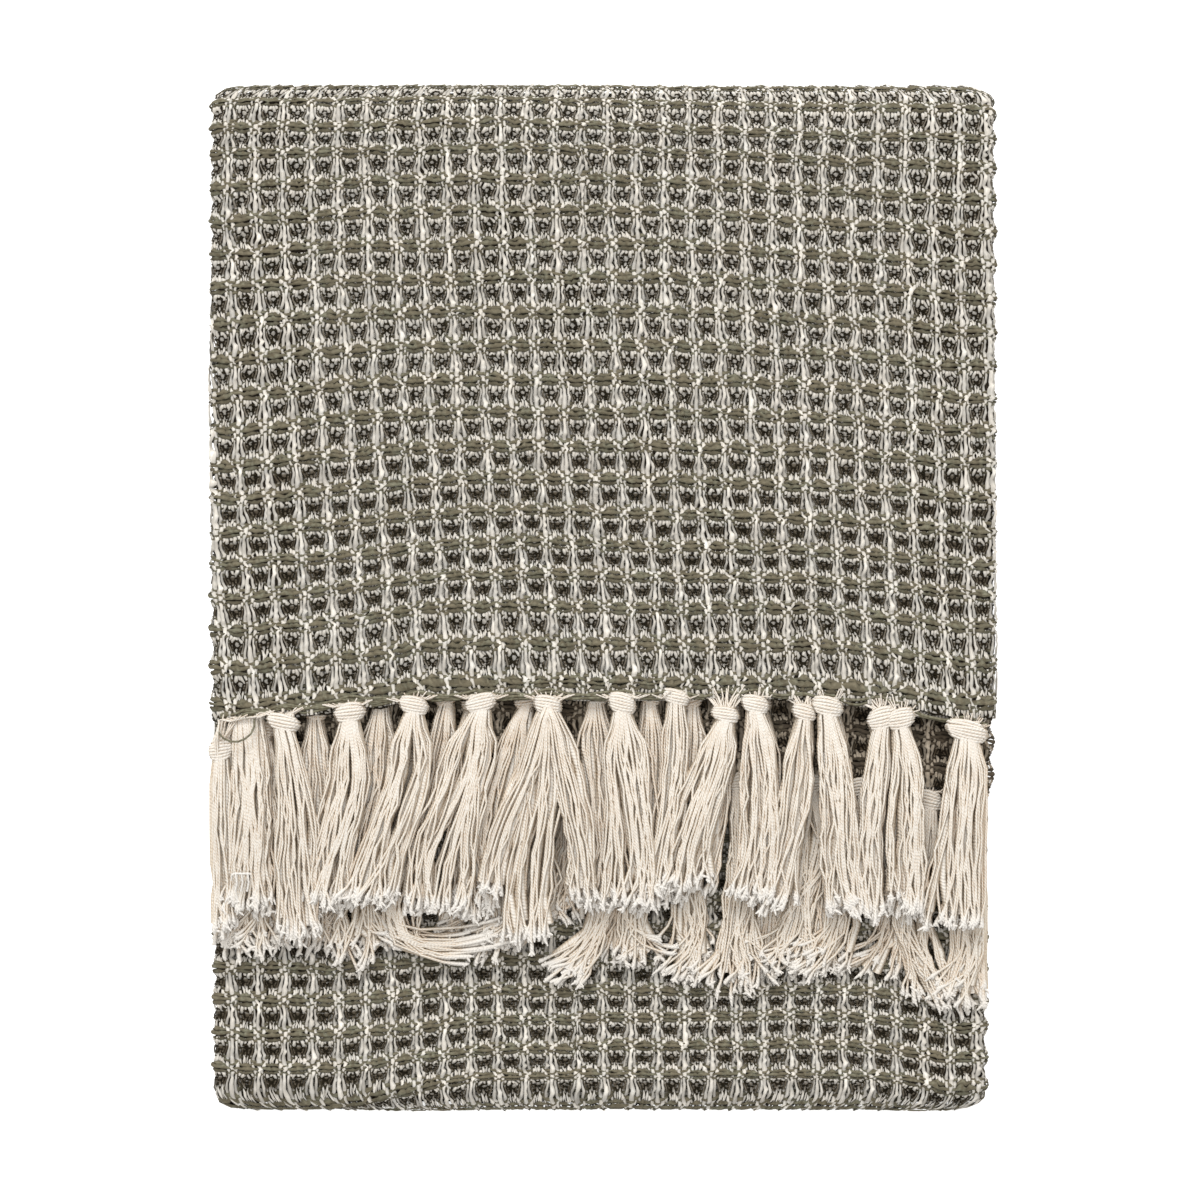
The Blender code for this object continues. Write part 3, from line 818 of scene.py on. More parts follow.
def plain_mesh(name, tree, values, source=None):
    """What a tree makes of a mesh with these inputs, as a new object of plain mesh."""
    holder = in_scene(f"{name}_maker", source or bpy.data.meshes.new(f"{name}_maker"))
    modifier = holder.modifiers.new("made", "NODES")
    modifier.node_group = tree
    for item in tree.interface.items_tree:
        if item.in_out == "INPUT" and item.name in values:
            modifier[item.identifier] = values[item.name]
    seen = holder.evaluated_get(bpy.context.evaluated_depsgraph_get())
    mesh = bpy.data.meshes.new_from_object(seen)
    mesh.name = name
    mesh.materials.clear()
    mesh.materials.append(values["Material"])
    mesh.shade_smooth()
    bpy.data.objects.remove(holder)
    return in_scene(name, mesh)


def yarn_cotton(name, light, shade, stained, in_pit):
    """Soft cotton yarn: a faint two-ply twist, cloudy colour, and painted shade where it sinks."""
    material, shader, start = cotton_shader(name)
    light_share = start.stored("light")
    side = start.stored("side")
    cloudy = start.cloud(450.0)
    hue = start.cloud(90.0)
    fibre = start.point(start.stored("yarn") * 5.3 + side * 1.3, start.stored("crossing") * 0.45)
    fibre = fibre.noise(1.6, 2.0)
    color = cloudy.between(0.3, 0.7).mixed(shade, light)
    # Painted light: the stored light, never darker than in_pit allows, and each yarn darker towards its sides.
    depth = light_share * (1 - in_pit) + in_pit
    edge = 1 - abs(side) * 0.30
    color = hue.between(0.35, 0.65).mixed(color, cloudy.mixed(shade, stained))
    # Painted shade is warmer, a painted tint of light bounced off the cotton.
    warm_shade = depth.between(0.0, 0.5).mixed((0.90, 0.76, 0.56, 1), (1, 1, 1, 1))
    color = warm_shade.multiplied(color)
    (depth * edge * (0.76 + 0.48 * fibre)).times(color).plug(shader.inputs["Base Color"])
    (fibre * 2 + cloudy).bump(0.5, 0.0003).plug(shader.inputs["Normal"])
    return material


# Each yarn's two tones, mixed at random in patches, its colour where it is stained, and how much
# of its painted light it keeps in the pits. The strip of the lower end lies in the shade of the
# tassels: its yarns take darker colours, a painted shade.
YARN_COLORS = {
    "warp": (CREAM, CREAM_SHADE, (0.720, 0.670, 0.597, 1), 0.08),
    "weft": (OLIVE, OLIVE_SHADE, (0.214, 0.186, 0.128, 1), 0.10),
    "shaded_warp": ((0.50, 0.43, 0.34, 1), (0.30, 0.25, 0.19, 1), (0.40, 0.33, 0.25, 1), 0.15),
    "shaded_weft": ((0.12, 0.10, 0.07, 1), (0.07, 0.055, 0.04, 1), (0.10, 0.075, 0.05, 1), 0.15),
}
cottons = {kind: yarn_cotton(f"{kind}_cotton", *colors) for kind, colors in YARN_COLORS.items()}

# The fields of crossings that show: the upper end and top fold, the lower panel, and the strip of
# the lower end that lies bare between the tassels.
Patch = namedtuple("Patch", "name first_end last_end first_pick last_pick")
PATCHES = (
    Patch("upper", -118, 136, -4, 197),
    Patch("panel", -118, 136, 507, 586),
    Patch("lower_end", 124, 352, 1000, 1036),
)

# Heights in metres, and the yarns' half width and its wobble in ends or picks.
WEAVE_SIZES = {
    "Pit Depth": 0.00165, "Yarn Lift": 0.00042, "Yarn Crown": 0.00062,
    "Half Width": 0.52, "Wobble": 0.66,
}
weaving = woven_yarns_tree()
yarns_on_sheet = []
for patch in PATCHES:
    ends = patch.last_end - patch.first_end + 1
    picks = patch.last_pick - patch.first_pick + 1
    # The lower end's yarns take the darker colours of painted shade.
    shade = "shaded_" if patch.name == "lower_end" else ""
    for kind, yarns, crossings in (("warp", ends, picks), ("weft", picks, ends)):
        piece = plain_mesh(f"{patch.name}_{kind}", weaving, {
            "Yarns": yarns, "Crossings": crossings, "First End": float(patch.first_end),
            "First Pick": float(patch.first_pick), "Weft": float(kind == "weft"),
            "Seed": 2.0 + (kind == "weft"), "Material": cottons[shade + kind], **WEAVE_SIZES,
        })
        flat = np.zeros(len(piece.data.vertices) * 3)
        piece.data.vertices.foreach_get("co", flat)
        end, pick, lift = flat.reshape(-1, 3).T
        piece.data.vertices.foreach_set("co", on_cloth(end, pick, lift).ravel())
        piece.data.update()
        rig.ride(piece, "root")
        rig.slot(piece, "waffle_cotton")
        yarns_on_sheet.append(piece)

# ---------------------------------------------------------------------------------------------
# The knotted fringe at both ends. The cream warp ends run on past the last pick, are gathered
# into knots a row to each ply, and hang as loose tassels of twisted two-ply cotton yarn. Each
# tassel was folded down with its ply, so the rows lie over one another.

# Radii and X are in metres. The height of a knot's turn and the hook are in mm, as in the table.
YARN_RADIUS = 0.00076
YARN_SIDES = 4
LOCK_DRAWS = 12
KNOT_YARN_RADIUS = 0.00104
KNOT_POINTS = 12
KNOT_TURN_HEIGHT = 1.9
INNER_YARNS = 6
INNER_YARN_RADIUS = 0.0024
FAR_HOOK = 20
FIBRE_RADIUS = 0.0012
FIBRE_ROOT = 0.0024
WHITE_THREAD_RADIUS = 0.00068
FIBRES_AT_AN_END = 3
GATHERED_EDGE_X = 0.2085
LEFT_SIDE_X = -0.2115
RIGHT_SIDE_X = 0.2055
SIDE_GIVE = 0.15

# Heights of the four rows of tassels, at these Y, and half thicknesses of their knots and locks.
LEVEL_Y = (-0.050, -0.085, -0.118, -0.142, -0.170, -0.200, -0.235)
Level = namedtuple("Level", "heights knot_half lock_half")
LEVELS = {
    "upper_front": Level((0.0488, 0.0486, 0.0470, 0.0425, 0.0385, 0.0352, 0.0345), 0.0042, 0.0032),
    "upper_back": Level((0.0388, 0.0396, 0.0396, 0.0366, 0.0334, 0.0315, 0.0308), 0.0034, 0.0028),
    "lower_front": Level((0.0340, 0.0340, 0.0338, 0.0312, 0.0292, 0.0282, 0.0279), 0.0032, 0.0022),
    "lower_back": Level((0.0272, 0.0272, 0.0272, 0.0263, 0.0256, 0.0250, 0.0248), 0.0030, 0.0020),
}

# Sizes of each tassel, in mm but for the yarns: where its knot lies and how wide and high it is,
# its X at a third and at two thirds of its length, its tip, its spread, how many yarns it has,
# how far it lies above its row, and how far its last part turns to the side.
Tassel = namedtuple(
    "Tassel",
    "row knot_x knot_y knot_width knot_height third_x low_x tip_x tip_y spread yarns lift hook",
)
TASSEL_SIZES = {
    "upper_front": (
        (-193, -64, 30, 0, -190.5, -192, -195, -168, 25, 40, -2.6, 0),
        (-173.3, -66.4, 18, 10, -166.8, -167, -163.6, -184, 20, 32, 1.2, 0),
        (-137.7, -61, 17, 12, -138.2, -146.5, -152.8, -166, 27, 35, 0, 0),
        (-103.1, -57.2, 16, 11, -105.5, -117.9, -126.9, -166, 33, 38, 1.5, 0),
        (-67, -55.8, 17, 11, -75.2, -87.1, -91.3, -169, 38, 40, 0.4, 0),
        (-30.8, -57.2, 15, 12, -34, -40, -43, -187, 26, 22, 1, 0),
        (-30.8, -57.2, 13, 0, -40, -57, -64, -160, 15, 15, 1.8, 0),
        (-30.8, -57.2, 13, 0, -20.5, -12.5, -9.5, -165, 17, 16, 1.6, 0),
        (9.2, -56.2, 15, 13, 11.5, 14, 12.4, -167, 33, 38, 0.6, 0),
        (38.3, -52.8, 15, 9, 38.3, 35, 27, -160, 17, 24, -1.6, 0),
        (64.8, -62.1, 15, 9, 57, 47.5, 40.5, -158, 27, 32, 0.8, 0),
        (81, -56.7, 15, 11, 85.8, 84.5, 79.4, -163, 26, 33, 0, 0),
        (107.5, -61, 13, 10, 104, 98, 90.2, -169, 21, 26, -0.8, 0),
        (119.9, -57.8, 17, 12, 124, 127, 131, -171, 22, 32, 1, 0),
        (149, -64.3, 15, 14, 145, 143.1, 143.1, -173, 17, 27, -0.4, 0),
        (159.5, -64.5, 15, 13, 165, 164, 165, -169, 19, 28, 0.8, 0),
        (194.9, -71, 23, 13, 194.2, 192, 189.5, -179, 34, 40, 0.2, 0),
        (-207.4, -81, 13, 14, -208, -208, -207, -181, 12, 20, -3, 0),
    ),
    "upper_back": (
        (-185, -70, 12, 10, -184, -182, -181, -172, 20, 19, -0.4, 0),
        (-157, -61, 12, 10, -156, -153, -150, -172, 20, 19, 0.3, 0),
        (-121.5, -54, 12, 10, -124, -134, -141, -168, 22, 19, -0.3, 0),
        (-86, -53, 12, 10, -90, -103, -110, -170, 22, 19, 0.4, 0),
        (-72, -57, 12, 10, -78, -74, -72, -173, 20, 19, -0.4, 0),
        (-43, -55, 12, 10, -54, -61, -66, -168, 24, 22, 0.5, 0),
        (-5, -52, 13, 10, -3.5, 2, -2, -167, 24, 22, 0, 0),
        (24, -52.5, 12, 10, 26, 24, 20, -170, 20, 19, 0.4, 0),
        (47, -55, 12, 10, 46, 38, 34, -165, 20, 19, -0.3, 0),
        (67, -59, 12, 10, 62, 56, 50, -160, 20, 19, 0.2, 0),
        (84, -57, 12, 10, 87, 86, 84, -165, 20, 19, -0.4, 0),
        (123, -57, 12, 10, 127, 130, 134, -170, 20, 19, 0.3, 0),
        (160, -63, 13, 11, 163, 162, 160, -172, 20, 22, -0.2, 0),
        (198, -71, 11, 10, 197, 195, 193, -178, 14, 19, 0.3, 0),
    ),
    "lower_front": (
        (-194, -81, 14, 11, -196, -200, -203, -193, 16, 24, 0, 2),
        (-179.8, -83.2, 13, 11, -184, -188, -189, -192, 18, 24, 0.8, -3),
        (-150, -84, 13, 11, -156, -162, -165, -188, 22, 24, -0.2, -5),
        (-120.5, -86, 13, 11, -128, -136, -138, -199, 20, 27, 0.6, 4),
        (-92, -88, 13, 11, -104, -112, -110, -210, 16, 30, 2, 40),
        (-51.5, -91, 13, 11, -54, -56, -62, -196, 20, 24, -0.4, 5),
        (-30, -92, 13, 11, -34, -40, -47, -191, 18, 24, 0.5, -6),
        (-8, -93, 13, 11, -3, -1, -14, -209, 16, 27, 0, -4),
        (22, -95, 13, 11, 21, 13, 19, -200, 16, 27, 0.8, 4),
        (52, -97, 13, 11, 51, 47, 45, -209, 17, 27, -0.3, -6),
        (72.4, -98.8, 13, 11, 76, 73, 69, -214, 20, 27, 0.6, 4),
        (112.3, -100.4, 13, 11, 112, 106, 103, -203, 20, 27, -0.2, -10),
        (137, -102, 13, 11, 135, 127, 123, -205, 19, 27, 0.7, -9),
        (176, -109, 15, 12, 173, 167, 173, -221, 20, 30, 0, 12),
        (197, -106, 13, 11, 197, 196, 196, -221, 20, 27, 0.6, -4),
    ),
    "lower_back": (
        (-170, -82, 12, 10, -174, -176, -176, -187, 25, 22, 0, 0),
        (-135, -84, 12, 10, -140, -150, -152, -194, 25, 22, 0, 0),
        (-104, -86, 12, 10, -114, -124, -126, -192, 25, 22, 0, 0),
        (-70, -88, 12, 10, -74, -76, -78, -190, 25, 22, 0, 0),
        (-17, -92, 12, 10, -18, -22, -26, -178, 20, 22, 0, 0),
        (6, -93, 12, 10, 6, 6, 2, -196, 19, 22, 0, 0),
        (38, -95, 12, 10, 42, 47, 49, -204, 16, 22, 0, 0),
        (90, -98, 12, 10, 90, 88, 84, -205, 22, 22, 0, 0),
        (124, -101, 12, 10, 120, 116, 114, -207, 20, 22, 0, 0),
        (155, -103, 12, 10, 157, 157, 151, -207, 19, 22, 0, -12),
        (203, -105, 12, 10, 203, 204, 204, -222, 14, 22, 0, 0),
    ),
}
TASSELS = [Tassel(row, *sizes) for row, tassels in TASSEL_SIZES.items() for sizes in tassels]

# A yarn to sweep: its centre line, radii, whiteness, painted shade, and whether it closes on itself.
Thread = namedtuple("Thread", "line radius white tone closed")
UPPER_EDGE_X = (-0.212, -0.186, -0.142, -0.095, 0.0, 0.095, 0.150, 0.186, 0.212)
UPPER_EDGE_DROP = (0.0145, 0.0097, 0.0043, 0.0005, 0.0, 0.0005, 0.0043, 0.0145, 0.0172)


def cloth_edge(row, x):
    """Y of the cloth's own edge at x, on the end that a row hangs from."""
    if row.startswith("upper"):
        return UPPER_EDGE_Y - np.interp(x, UPPER_EDGE_X, UPPER_EDGE_DROP)
    return LOWER_EDGE_Y + LOWER_EDGE_SLOPE * x


def frayed_end(line, rng):
    """Short white fibres at the end of a yarn's centre line."""
    ahead = (line[-1] - line[-2]) / np.linalg.norm(line[-1] - line[-2])
    radius = np.array([0.75, 0.70, 0.30]) * FIBRE_RADIUS
    fibres = []
    for _ in range(FIBRES_AT_AN_END):
        way = ahead + rng.normal(0, 0.80, 3) * (1, 1, 0.2) + (0, 0, 0.30)
        reach = rng.uniform(0.0005, 0.0011)
        bend = rng.normal(0, 0.0004, 3)
        steps = np.array([0 * way, reach * way, 2 * reach * way + bend])
        fibres.append(Thread(line[-1] - FIBRE_ROOT * ahead + steps, radius, np.ones(3), 0.9, False))
    return fibres


def knot_turns(tassel, rng):
    """The turns of yarn round a tassel's knot, all leaning one way and not quite even."""
    level = LEVELS[tassel.row]
    behind = tassel.row.endswith("back")
    knot_x, knot_y = tassel.knot_x / 1000, tassel.knot_y / 1000
    half_width, half_height = tassel.knot_width / 2000, tassel.knot_height / 2000
    level_z = np.interp(-knot_y, [-y for y in LEVEL_Y], level.heights) + tassel.lift / 1000
    turns = round(tassel.knot_height / KNOT_TURN_HEIGHT)
    lean = rng.uniform(0.10, 0.28) * rng.choice((-1, 1))
    angle = np.linspace(0, 2 * math.pi, KNOT_POINTS + 1)[:-1]
    radius = np.full(KNOT_POINTS, KNOT_YARN_RADIUS)
    # Painted light and shade: the front rows' knots are a little whiter, the back rows' knots darker.
    white = np.full(KNOT_POINTS, 0.0 if behind else 0.2)
    threads = []
    for k in range(turns):
        place = -1 + 2 * (k + 0.5) / turns
        girth = math.sqrt(1 - 0.45 * place * place) * rng.uniform(0.97, 1.03)
        x = knot_x + half_width * girth * 0.94 * np.cos(angle)
        y = knot_y + 0.92 * place * half_height * (1 - 0.30 * np.cos(angle) ** 2)
        y = y + (x - knot_x) * (lean + rng.normal(0, 0.025))
        z = level_z + level.knot_half * girth * 0.9 * np.sin(angle)
        threads.append(Thread(np.column_stack([x, y, z]), radius, white, 0.80 - 0.45 * behind, True))
    return threads


def gathered(tassel, side, rng):
    """A yarn from the cloth's edge into the knot: four places, and shifts of the first heights.

    Some yarns stand out like a fan, more of them at the right, and some hug the edge.
    """
    knot_x, knot_y = tassel.knot_x / 1000, tassel.knot_y / 1000
    half_width, half_height = tassel.knot_width / 2000, tassel.knot_height / 2000
    to_right = float(smooth((knot_x + 0.03) / 0.12))
    draw = rng.uniform()
    spiky = draw < 0.10 + 0.34 * to_right
    hugging = not spiky and draw < 0.40
    gather = (0.0088 if spiky else 0.0150) * side + rng.normal(0, 0.0022) * spiky
    if hugging:
        gather = (0.0070 + rng.uniform(0, 0.0080)) * math.copysign(1, side)
    edge_x = np.clip(knot_x + gather, -GATHERED_EDGE_X, GATHERED_EDGE_X)
    middle_x = knot_x + 0.6 * (edge_x - knot_x)
    middle_y = cloth_edge(tassel.row, middle_x) - (0.0016 if spiky else 0.0026)
    reach = rng.uniform(0.0006, 0.0024 + 0.0030 * to_right) if spiky else -0.0006
    places = np.array([
        (edge_x, cloth_edge(tassel.row, edge_x) + reach),
        (middle_x, middle_y),
        (knot_x + 0.62 * side * half_width, knot_y + 0.75 * half_height),
        (knot_x + 0.55 * side * half_width, knot_y - 0.75 * half_height),
    ])
    if spiky:
        return places, np.array([-0.0022, -0.0010, -0.0002])
    if hugging:
        return places, np.array([-0.0002, 0.0006, 0.0004]) - tassel.lift / 1000
    return places, np.array([-0.0060, -0.0030, -0.0004])


def tassel_threads(tassel, seed):
    """One tassel: its yarns from the cloth's edge to their frayed ends, and its knot's turns."""
    rng = np.random.default_rng(seed)
    level = LEVELS[tassel.row]
    unruly = 1.0 if tassel.row.startswith("lower") else 0.3
    behind = tassel.row.endswith("back")
    knot_x, knot_y, lift = tassel.knot_x / 1000, tassel.knot_y / 1000, tassel.lift / 1000
    half_width, half_height = tassel.knot_width / 2000, tassel.knot_height / 2000
    end_half = tassel.spread / 2000

    # What all its yarns share, by their share of the way from the knot to the tip.
    share = np.concatenate([np.linspace(0, 0.93, 13)[1:], (0.960, 0.982, 1.0)])
    early = smooth(share * 5.0)
    curl = smooth((share - 0.80) / 0.20)
    turned = np.clip((share - 0.74) / 0.26, 0, 1)
    start_y = knot_y - 0.75 * half_height
    run_x = (knot_x, tassel.third_x / 1000, tassel.low_x / 1000, tassel.tip_x / 1000)
    middle = np.interp(share, (0, 0.33, 0.68, 1), run_x)
    middle = np.convolve(np.pad(middle, 2, mode="edge"), (0.1, 0.2, 0.4, 0.2, 0.1), mode="valid")
    half = half_width * 0.55 + (0.62 * end_half + 0.0015 - half_width * 0.55) * early
    half = half + (0.92 * end_half - half) * smooth((share - 0.3) / 0.7)
    flat = level.lock_half / level.knot_half
    bulk = flat + (1 - flat) * (1 - 0.55 * early - 0.45 * share)
    bulk = np.concatenate([(0.2, 0.4, 0.7, 0.8), bulk])
    swell = np.interp(share, (0, 0.93, 0.965, 0.985, 1.0), (1, 1.05, 1.55, 1.75, 1.0))
    white = np.concatenate([np.full(4, 0.1), smooth((share - 0.92) / 0.060)])

    # Yarns cling together in locks, which turn, sway and curl as one.
    lock_turn = rng.normal(0, 0.0075, LOCK_DRAWS)
    lock_sway = rng.normal(0, 0.19, LOCK_DRAWS)
    lock_phase = rng.uniform(0, 6.3, LOCK_DRAWS)
    lock_curl = rng.normal(0, 0.07 + 0.30 * (unruly > 0.5), LOCK_DRAWS)
    threads = []
    # Thick inner yarns fill a tassel, but not one that turns far aside, where they would show.
    for k in range(tassel.yarns + INNER_YARNS * (tassel.hook < FAR_HOOK)):
        inner = k >= tassel.yarns
        side = -1 + 2 * (k + rng.uniform(0.1, 0.9)) / tassel.yarns
        top = rng.choice((1.0, 1.0, 1.0, 0.3, -0.5))
        if inner:
            side = -0.7 + 1.4 * (k - tassel.yarns) / (INNER_YARNS - 1)
            top = -0.45
        high = top * math.sqrt(1 - 0.92 * side * side)
        lock = int((side + 1) * 2.99)
        edge, dip = gathered(tassel, side, rng)

        # From the knot to the tip.
        loose = 4.0 if rng.uniform() < 0.09 else 1.0
        wander = loose * rng.normal(0, 0.07) * np.sin(math.pi * share)
        wander = wander + rng.normal(0, 0.055 + 0.10 * unruly) * share
        sway = lock_sway[lock] * np.sin(share * 4.2 + lock_phase[lock])
        wander = wander + sway * smooth(share * 3)
        bend = lock_curl[lock] * np.sin(share * 7.5 + 2 * lock_phase[lock])
        wander = wander + bend * smooth(share * 2)
        wave = rng.uniform(0.0002, 0.0010 + 0.0009 * unruly) * smooth(share * 3)
        ripple = wave * np.sin(share * rng.uniform(12, 20) + rng.uniform(0, 6.3))
        ripple = ripple + 0.6 * wave * np.sin(share * rng.uniform(28, 36) + rng.uniform(0, 6.3))
        x = middle + (side + wander) * half + ripple
        length = rng.normal(0, 0.0014 + 0.0025 * unruly) - 0.003 * side * side
        y = start_y + (tassel.tip_y / 1000 - start_y) * share - length * share
        y = y + 0.0003 * np.sin(share * 20 + rng.uniform(0, 6.3))
        x = x + curl * rng.normal(0, 0.0010)
        turn = tassel.hook / 1000 + unruly * lock_turn[int((side + 1) * 5)]
        x = x + turn * turned**1.6
        x = x + 0.5 * (-1 + (lock + 0.5) / 3 - side) * half * smooth((share - 0.8) / 0.2)
        y = y + np.abs(turn) * 0.55 * turned**2
        x = np.where(x > RIGHT_SIDE_X, RIGHT_SIDE_X + SIDE_GIVE * (x - RIGHT_SIDE_X), x)
        x = np.where(x < LEFT_SIDE_X, LEFT_SIDE_X + SIDE_GIVE * (x - LEFT_SIDE_X), x)

        # Its height over the row's, lowest where it leaves the cloth.
        line = np.concatenate([edge, np.stack([x, y], axis=1)])
        z = np.interp(-line[:, 1], [-y for y in LEVEL_Y], level.heights)
        z = z + high * bulk * level.knot_half + lift
        z[:3] += dip
        z[-4:] += curl[-4:] * rng.uniform(-0.001, 0.0012)
        line = np.column_stack([line, z])
        radius = np.concatenate([(0.5, 0.65, 0.8, 0.9), swell + 0.07 * rng.normal(size=len(share))])
        if inner:
            line = line[3:-3:2]
            radius = np.full(len(line), INNER_YARN_RADIUS)
            threads.append(Thread(line, radius, np.zeros(len(line)), 0.95, False))
            continue
        # Painted shade: yarns lower in the tassel, tassels of the back rows and the whole lower fringe are darker.
        shade = 0.42 + 0.38 * top - 0.30 * behind - 0.12 * unruly
        threads.append(Thread(line, radius * YARN_RADIUS, white, shade, False))
        threads.extend(frayed_end(line, rng))
    threads.extend(knot_turns(tassel, rng))
    return threads


def loose_white_threads():
    """A white thread caught across the tassel at the left, with three ends that hang from it."""
    lines = [(
        (-0.2018, -0.1520, 0.0440), (-0.2014, -0.1488, 0.0456), (-0.1995, -0.1482, 0.0462),
        (-0.1960, -0.1484, 0.0464), (-0.1930, -0.1482, 0.0462), (-0.1914, -0.1486, 0.0452),
    )]
    hanging = np.array([(0, -0.1485, 0.0462), (0.0006, -0.1530, 0.0458), (-0.0004, -0.1580, 0.0444)])
    lines += [hanging + (x, 0, 0) for x in (-0.1994, -0.1963, -0.1930)]
    threads = []
    for line in lines:
        radius, white = np.full(len(line), WHITE_THREAD_RADIUS), np.ones(len(line))
        threads.append(Thread(np.array(line), radius, white, 0.9, False))
    return threads


def thread_sweeps_tree():
    """Round yarns along lines of edges. The radius is read from the lines' own attribute."""
    kinds = {"Lines": "Geometry", "Sides": "Int", "Material": "Material"}
    tree, start, given = new_tree("thread_sweeps", kinds)
    curves = start.node("GeometryNodeMeshToCurve", inputs={"Mesh": given["Lines"]})
    read = {"Name": "thickness"}
    width = start.node("GeometryNodeInputNamedAttribute", {"data_type": "FLOAT"}, read)
    curves = start.node("GeometryNodeSetCurveRadius", inputs={"Curve": curves, "Radius": width})
    curves = start.node("GeometryNodeSetCurveNormal", {"mode": "Z_UP"}, {"Curve": curves})
    sizes = {"Resolution": given["Sides"], "Radius": 1.0}
    ring = start.node("GeometryNodeCurvePrimitiveCircle", inputs=sizes)
    place = start.node("GeometryNodeInputPosition")
    ring = start.node(
        "GeometryNodeStoreNamedAttribute",
        {"data_type": "FLOAT_VECTOR", "domain": "POINT"},
        {"Geometry": ring, "Name": "ring", "Value": place},
    )
    yarns = start.node(
        "GeometryNodeCurveToMesh",
        inputs={"Curve": curves, "Profile Curve": ring, "Scale": width, "Fill Caps": True},
    )
    finish_tree(yarns, given["Material"])
    return tree


def swept_threads(name, threads, material):
    """Round yarns along the threads' centre lines, as a new object of plain mesh."""
    points, edges = [], []
    stored = {"thickness": [], "along": [], "tone": [], "white": []}
    rng = np.random.default_rng(7)
    for line, radius, white, shade, closed in threads:
        first, count = len(points), len(line)
        points.extend(line.tolist())
        edges.extend((first + k, first + k + 1) for k in range(count - 1))
        if closed:
            edges.append((first + count - 1, first))
        steps = np.linalg.norm(np.diff(line, axis=0), axis=1)
        stored["thickness"].extend(radius.tolist())
        stored["along"].extend([0.0, *np.cumsum(steps).tolist()])
        # The painted shade, with a random tone added to each yarn.
        stored["tone"].extend([shade + rng.uniform(-0.15, 0.15)] * count)
        stored["white"].extend(white.tolist())
    lines = bpy.data.meshes.new(f"{name}_lines")
    lines.from_pydata(points, edges, [])
    for label, values in stored.items():
        attribute = lines.attributes.new(label, "FLOAT", "POINT")
        attribute.data.foreach_set("value", values)
    return plain_mesh(name, sweeping, {"Sides": YARN_SIDES, "Material": material}, lines)


def tassel_cotton(name, shade_dimming):
    """Cream two-ply yarn: a clear twist, a little painted brown shade between the plies, white at the cut ends."""
    material, shader, start = cotton_shader(name)
    along, tone, white = (start.stored(name) for name in ("along", "tone", "white"))
    ring = start.stored("ring", output=1).split()
    angle = start.math("ARCTAN2", ring.other(1), ring)
    twist = (angle * 2 + along * 3300 + tone * 9).sine()
    rough = start.point(along * 850, tone * 70, angle * 0.6).noise(1.0, 2.0)
    # Painted light: darker and browner in the twist's grooves and where the stored shade is low.
    light = (twist * 0.27 + 0.60 + (rough - 0.5) * 1.5 + (tone - 0.6) * 0.8).between(0.0, 1.0)
    color = light.mixed((0.575, 0.476, 0.378, 1), (0.712, 0.665, 0.595, 1))
    paler = light.mixed((0.640, 0.565, 0.475, 1), (0.735, 0.696, 0.635, 1))
    color = start.cloud(140.0).between(0.35, 0.7).mixed(color, paler)
    color = white.mixed(color, (0.705, 0.670, 0.620, 1))
    # Painted light: each yarn's upper side lighter, its underside a warmer painted shade, but not at white ends.
    lit_upper_side = (white - ring.other(1)).between(-0.05, 0.90)
    color = lit_upper_side.mixed((0.900, 0.810, 0.690, 1), (1, 1, 1, 1)).multiplied(color)
    # The lower fringe is a little darker, a painted shade from the upper fringe over it.
    color.multiplied(shade_dimming).plug(shader.inputs["Base Color"])
    (twist * 0.4 + rough * 1.6).bump(0.6, 0.0004).plug(shader.inputs["Normal"])
    return material


sweeping = thread_sweeps_tree()
# The lower fringe lies in the shade of the upper one, which is painted by dimming its colour.
for end_name, node, shade_dimming in (
    ("upper", "fringe_upper", (1.0, 1.0, 1.0)),
    ("lower", "fringe_lower", (0.935, 0.930, 0.920)),
):
    threads = []
    for number, tassel in enumerate(TASSELS):
        if tassel.row.startswith(end_name):
            threads.extend(tassel_threads(tassel, 100 + number))
    if end_name == "upper":
        threads.extend(loose_white_threads())
    yarn_material = tassel_cotton(f"{end_name}_tassel_cotton", shade_dimming)
    piece = swept_threads(f"{end_name}_fringe", threads, yarn_material)
    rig.ride(piece, "root")
    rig.replaces(piece, node)
    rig.slot(piece, "fringe_cotton")

# ---------------------------------------------------------------------------------------------
# The last picks of the upper end. Nothing holds these olive yarns but the knots, so they sag
# between them, and one has slipped out at the left in a loose loop.

# Some of these picks end near the middle. The rest run all the way across.
LOOSE_PICKS = 7
SHORT_PICKS = 5
LOOSE_PICK_PITCH = 0.00055
LOOSE_PICK_RADIUS = 0.00078
LOOSE_PICK_STEP = 0.0030
LOOP_RADIUS = 0.00055
SAG = 0.0030
SAG_REACH = 0.013


def loose_pick_cotton():
    """The olive weft yarn where it lies loose."""
    material, shader, start = cotton_shader("loose_weft_cotton")
    rough = start.point(start.stored("along") * 500, start.stored("tone") * 70).noise(1.0, 2.0)
    rough.between(0.25, 0.75).mixed(OLIVE_SHADE, OLIVE).plug(shader.inputs["Base Color"])
    rough.bump(0.5, 0.0003).plug(shader.inputs["Normal"])
    return material


